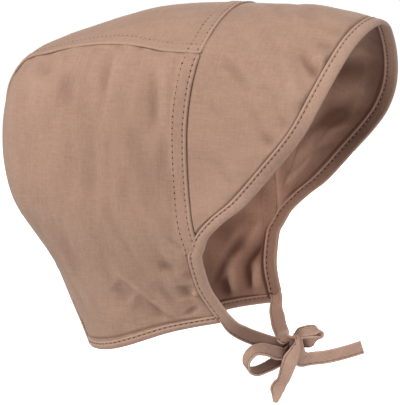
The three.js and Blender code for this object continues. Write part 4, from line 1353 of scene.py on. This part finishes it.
# near-black beads of painted shade at the needle holes
paintedHoleShade = smallMaterial("paintedHoleShade", 900, 1.0)
rowTree = stitchTree()
outside, inside = (sum(rows, []) for rows in zip(rightRowsOf, leftRowsOf, stripRowsOf))
seamStitches = stitches("seamStitches", outside, share=1.0)
liningStitches = stitches("liningStitches", inside, share=0.6)
bindingStitches = stitches("bindingStitches", faceRows + neckRows, share=1.2)
tieStitches = stitches("tieStitches", rightRows + leftRows, share=0.75)
print("stitches laid")

studio = {
    "floor": -0.3,
    "reach": 14.0,
    "floorTone": (0.42, 0.42, 0.42),
    "floorGlow": 0.92,
    "sky": 0.2,
    "lights": [
        # name, place, what it faces, size, power, colour
        ("key", (-1.3, 0.9, 1.1), (0, 0, -0.1), 1.2, 35.5, (1, 1, 1)),
        ("low", (-0.9, -0.9, -0.26), (0, 0, -0.1), 0.5, 4.2, (1, 1, 1)),
        ("side", (-1.3, -0.2, 0.1), (0, 0, -0.1), 0.9, 1, (1, 1, 1)),
        ("front", (0.1, -1.3, 0.9), (0, -0.05, -0.03), 0.9, 5.5, (1, 1, 1)),
        ("far", (1.4, 0.3, 0.1), (0, 0, -0.1), 1, 17, (1, 1, 1)),
        # what comes through the thin cloth of the lit side
        ("through", (-0.02, 0.002, -0.115), (0.05, -0.036, -0.12), 0.045, 0.023, (1, 0.84, 0.79)),
        ("bow", (-0.11, -0.2, -0.235), (0, -0.055, -0.18), 0.06, 0.03, (1, 0.95, 0.92)),
    ],
}


def makeStudio():
    reach, low = studio["reach"], studio["floor"]
    data = bpy.data.meshes.new("floor")
    corners = [(-reach, -reach, low), (reach, -reach, low), (reach, reach, low), (-reach, reach, low)]
    data.from_pydata(corners, [], [(0, 1, 2, 3)])
    floor = bpy.data.objects.new("floor", data)
    bpy.context.scene.collection.objects.link(floor)
    pale, tree, shader = newMaterial("paleFloor")
    # the floor and the sky are white to look at, without throwing much light up under the hat
    seen = addNode(tree, "ShaderNodeLightPath").outputs["Is Camera Ray"]
    setInputs(tree, shader, {
        "Base Color": (*studio["floorTone"], 1),
        "Roughness": 0.9,
        "Emission Color": (1, 1, 1, 1),
        "Emission Strength": mathNode(tree, "MULTIPLY", seen, studio["floorGlow"]),
    })
    data.materials.append(pale)
    world = bpy.data.worlds.new("studioWorld")
    world.use_nodes = True
    tree = world.node_tree
    seen = addNode(tree, "ShaderNodeLightPath").outputs["Is Camera Ray"]
    glow = mathNode(tree, "MULTIPLY_ADD", seen, 1 - studio["sky"], studio["sky"])
    setInputs(tree, tree.nodes["Background"], {"Color": (1, 1, 1, 1), "Strength": glow})
    bpy.context.scene.world = world
    for name, place, faced, size, power, colour in studio["lights"]:
        light = bpy.data.lights.new(name, "AREA")
        light.energy, light.size, light.color = power, size, colour
        lamp = bpy.data.objects.new(name, light)
        lamp.location = place
        lamp.visible_camera = False
        lamp.rotation_euler = (Vector(faced) - Vector(place)).to_track_quat("-Z", "Y").to_euler()
        bpy.context.scene.collection.objects.link(lamp)
    bpy.context.scene.view_settings.view_transform = "Standard"


makeStudio()
print("studio lit")

standsFor = [
    (sideRight, "cloth", "side_panel_right"), (sideLeft, "cloth", "side_panel_left"),
    (strip, "cloth", "crown_strip"), (brim, "cloth", "brim"),
    (faceBinding, "tape", "face_binding"), (neckBinding, "tape", "neck_binding"),
    (knot, "tape", "bow_knot"), (tieRight, "tape", "tie_right", "bow_loop_right", "tie_end_side"),
    (tieLeft, "tape", "tie_left", "bow_loop_left", "tie_end_down"),
    (seamStitches, "cloth"), (liningStitches, "cloth"), (bindingStitches, "tape"),
    (tieStitches, "tape"),
]
for piece, slot, *nodes in standsFor:
    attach(piece, "root")
    if nodes:
        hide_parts(*nodes)
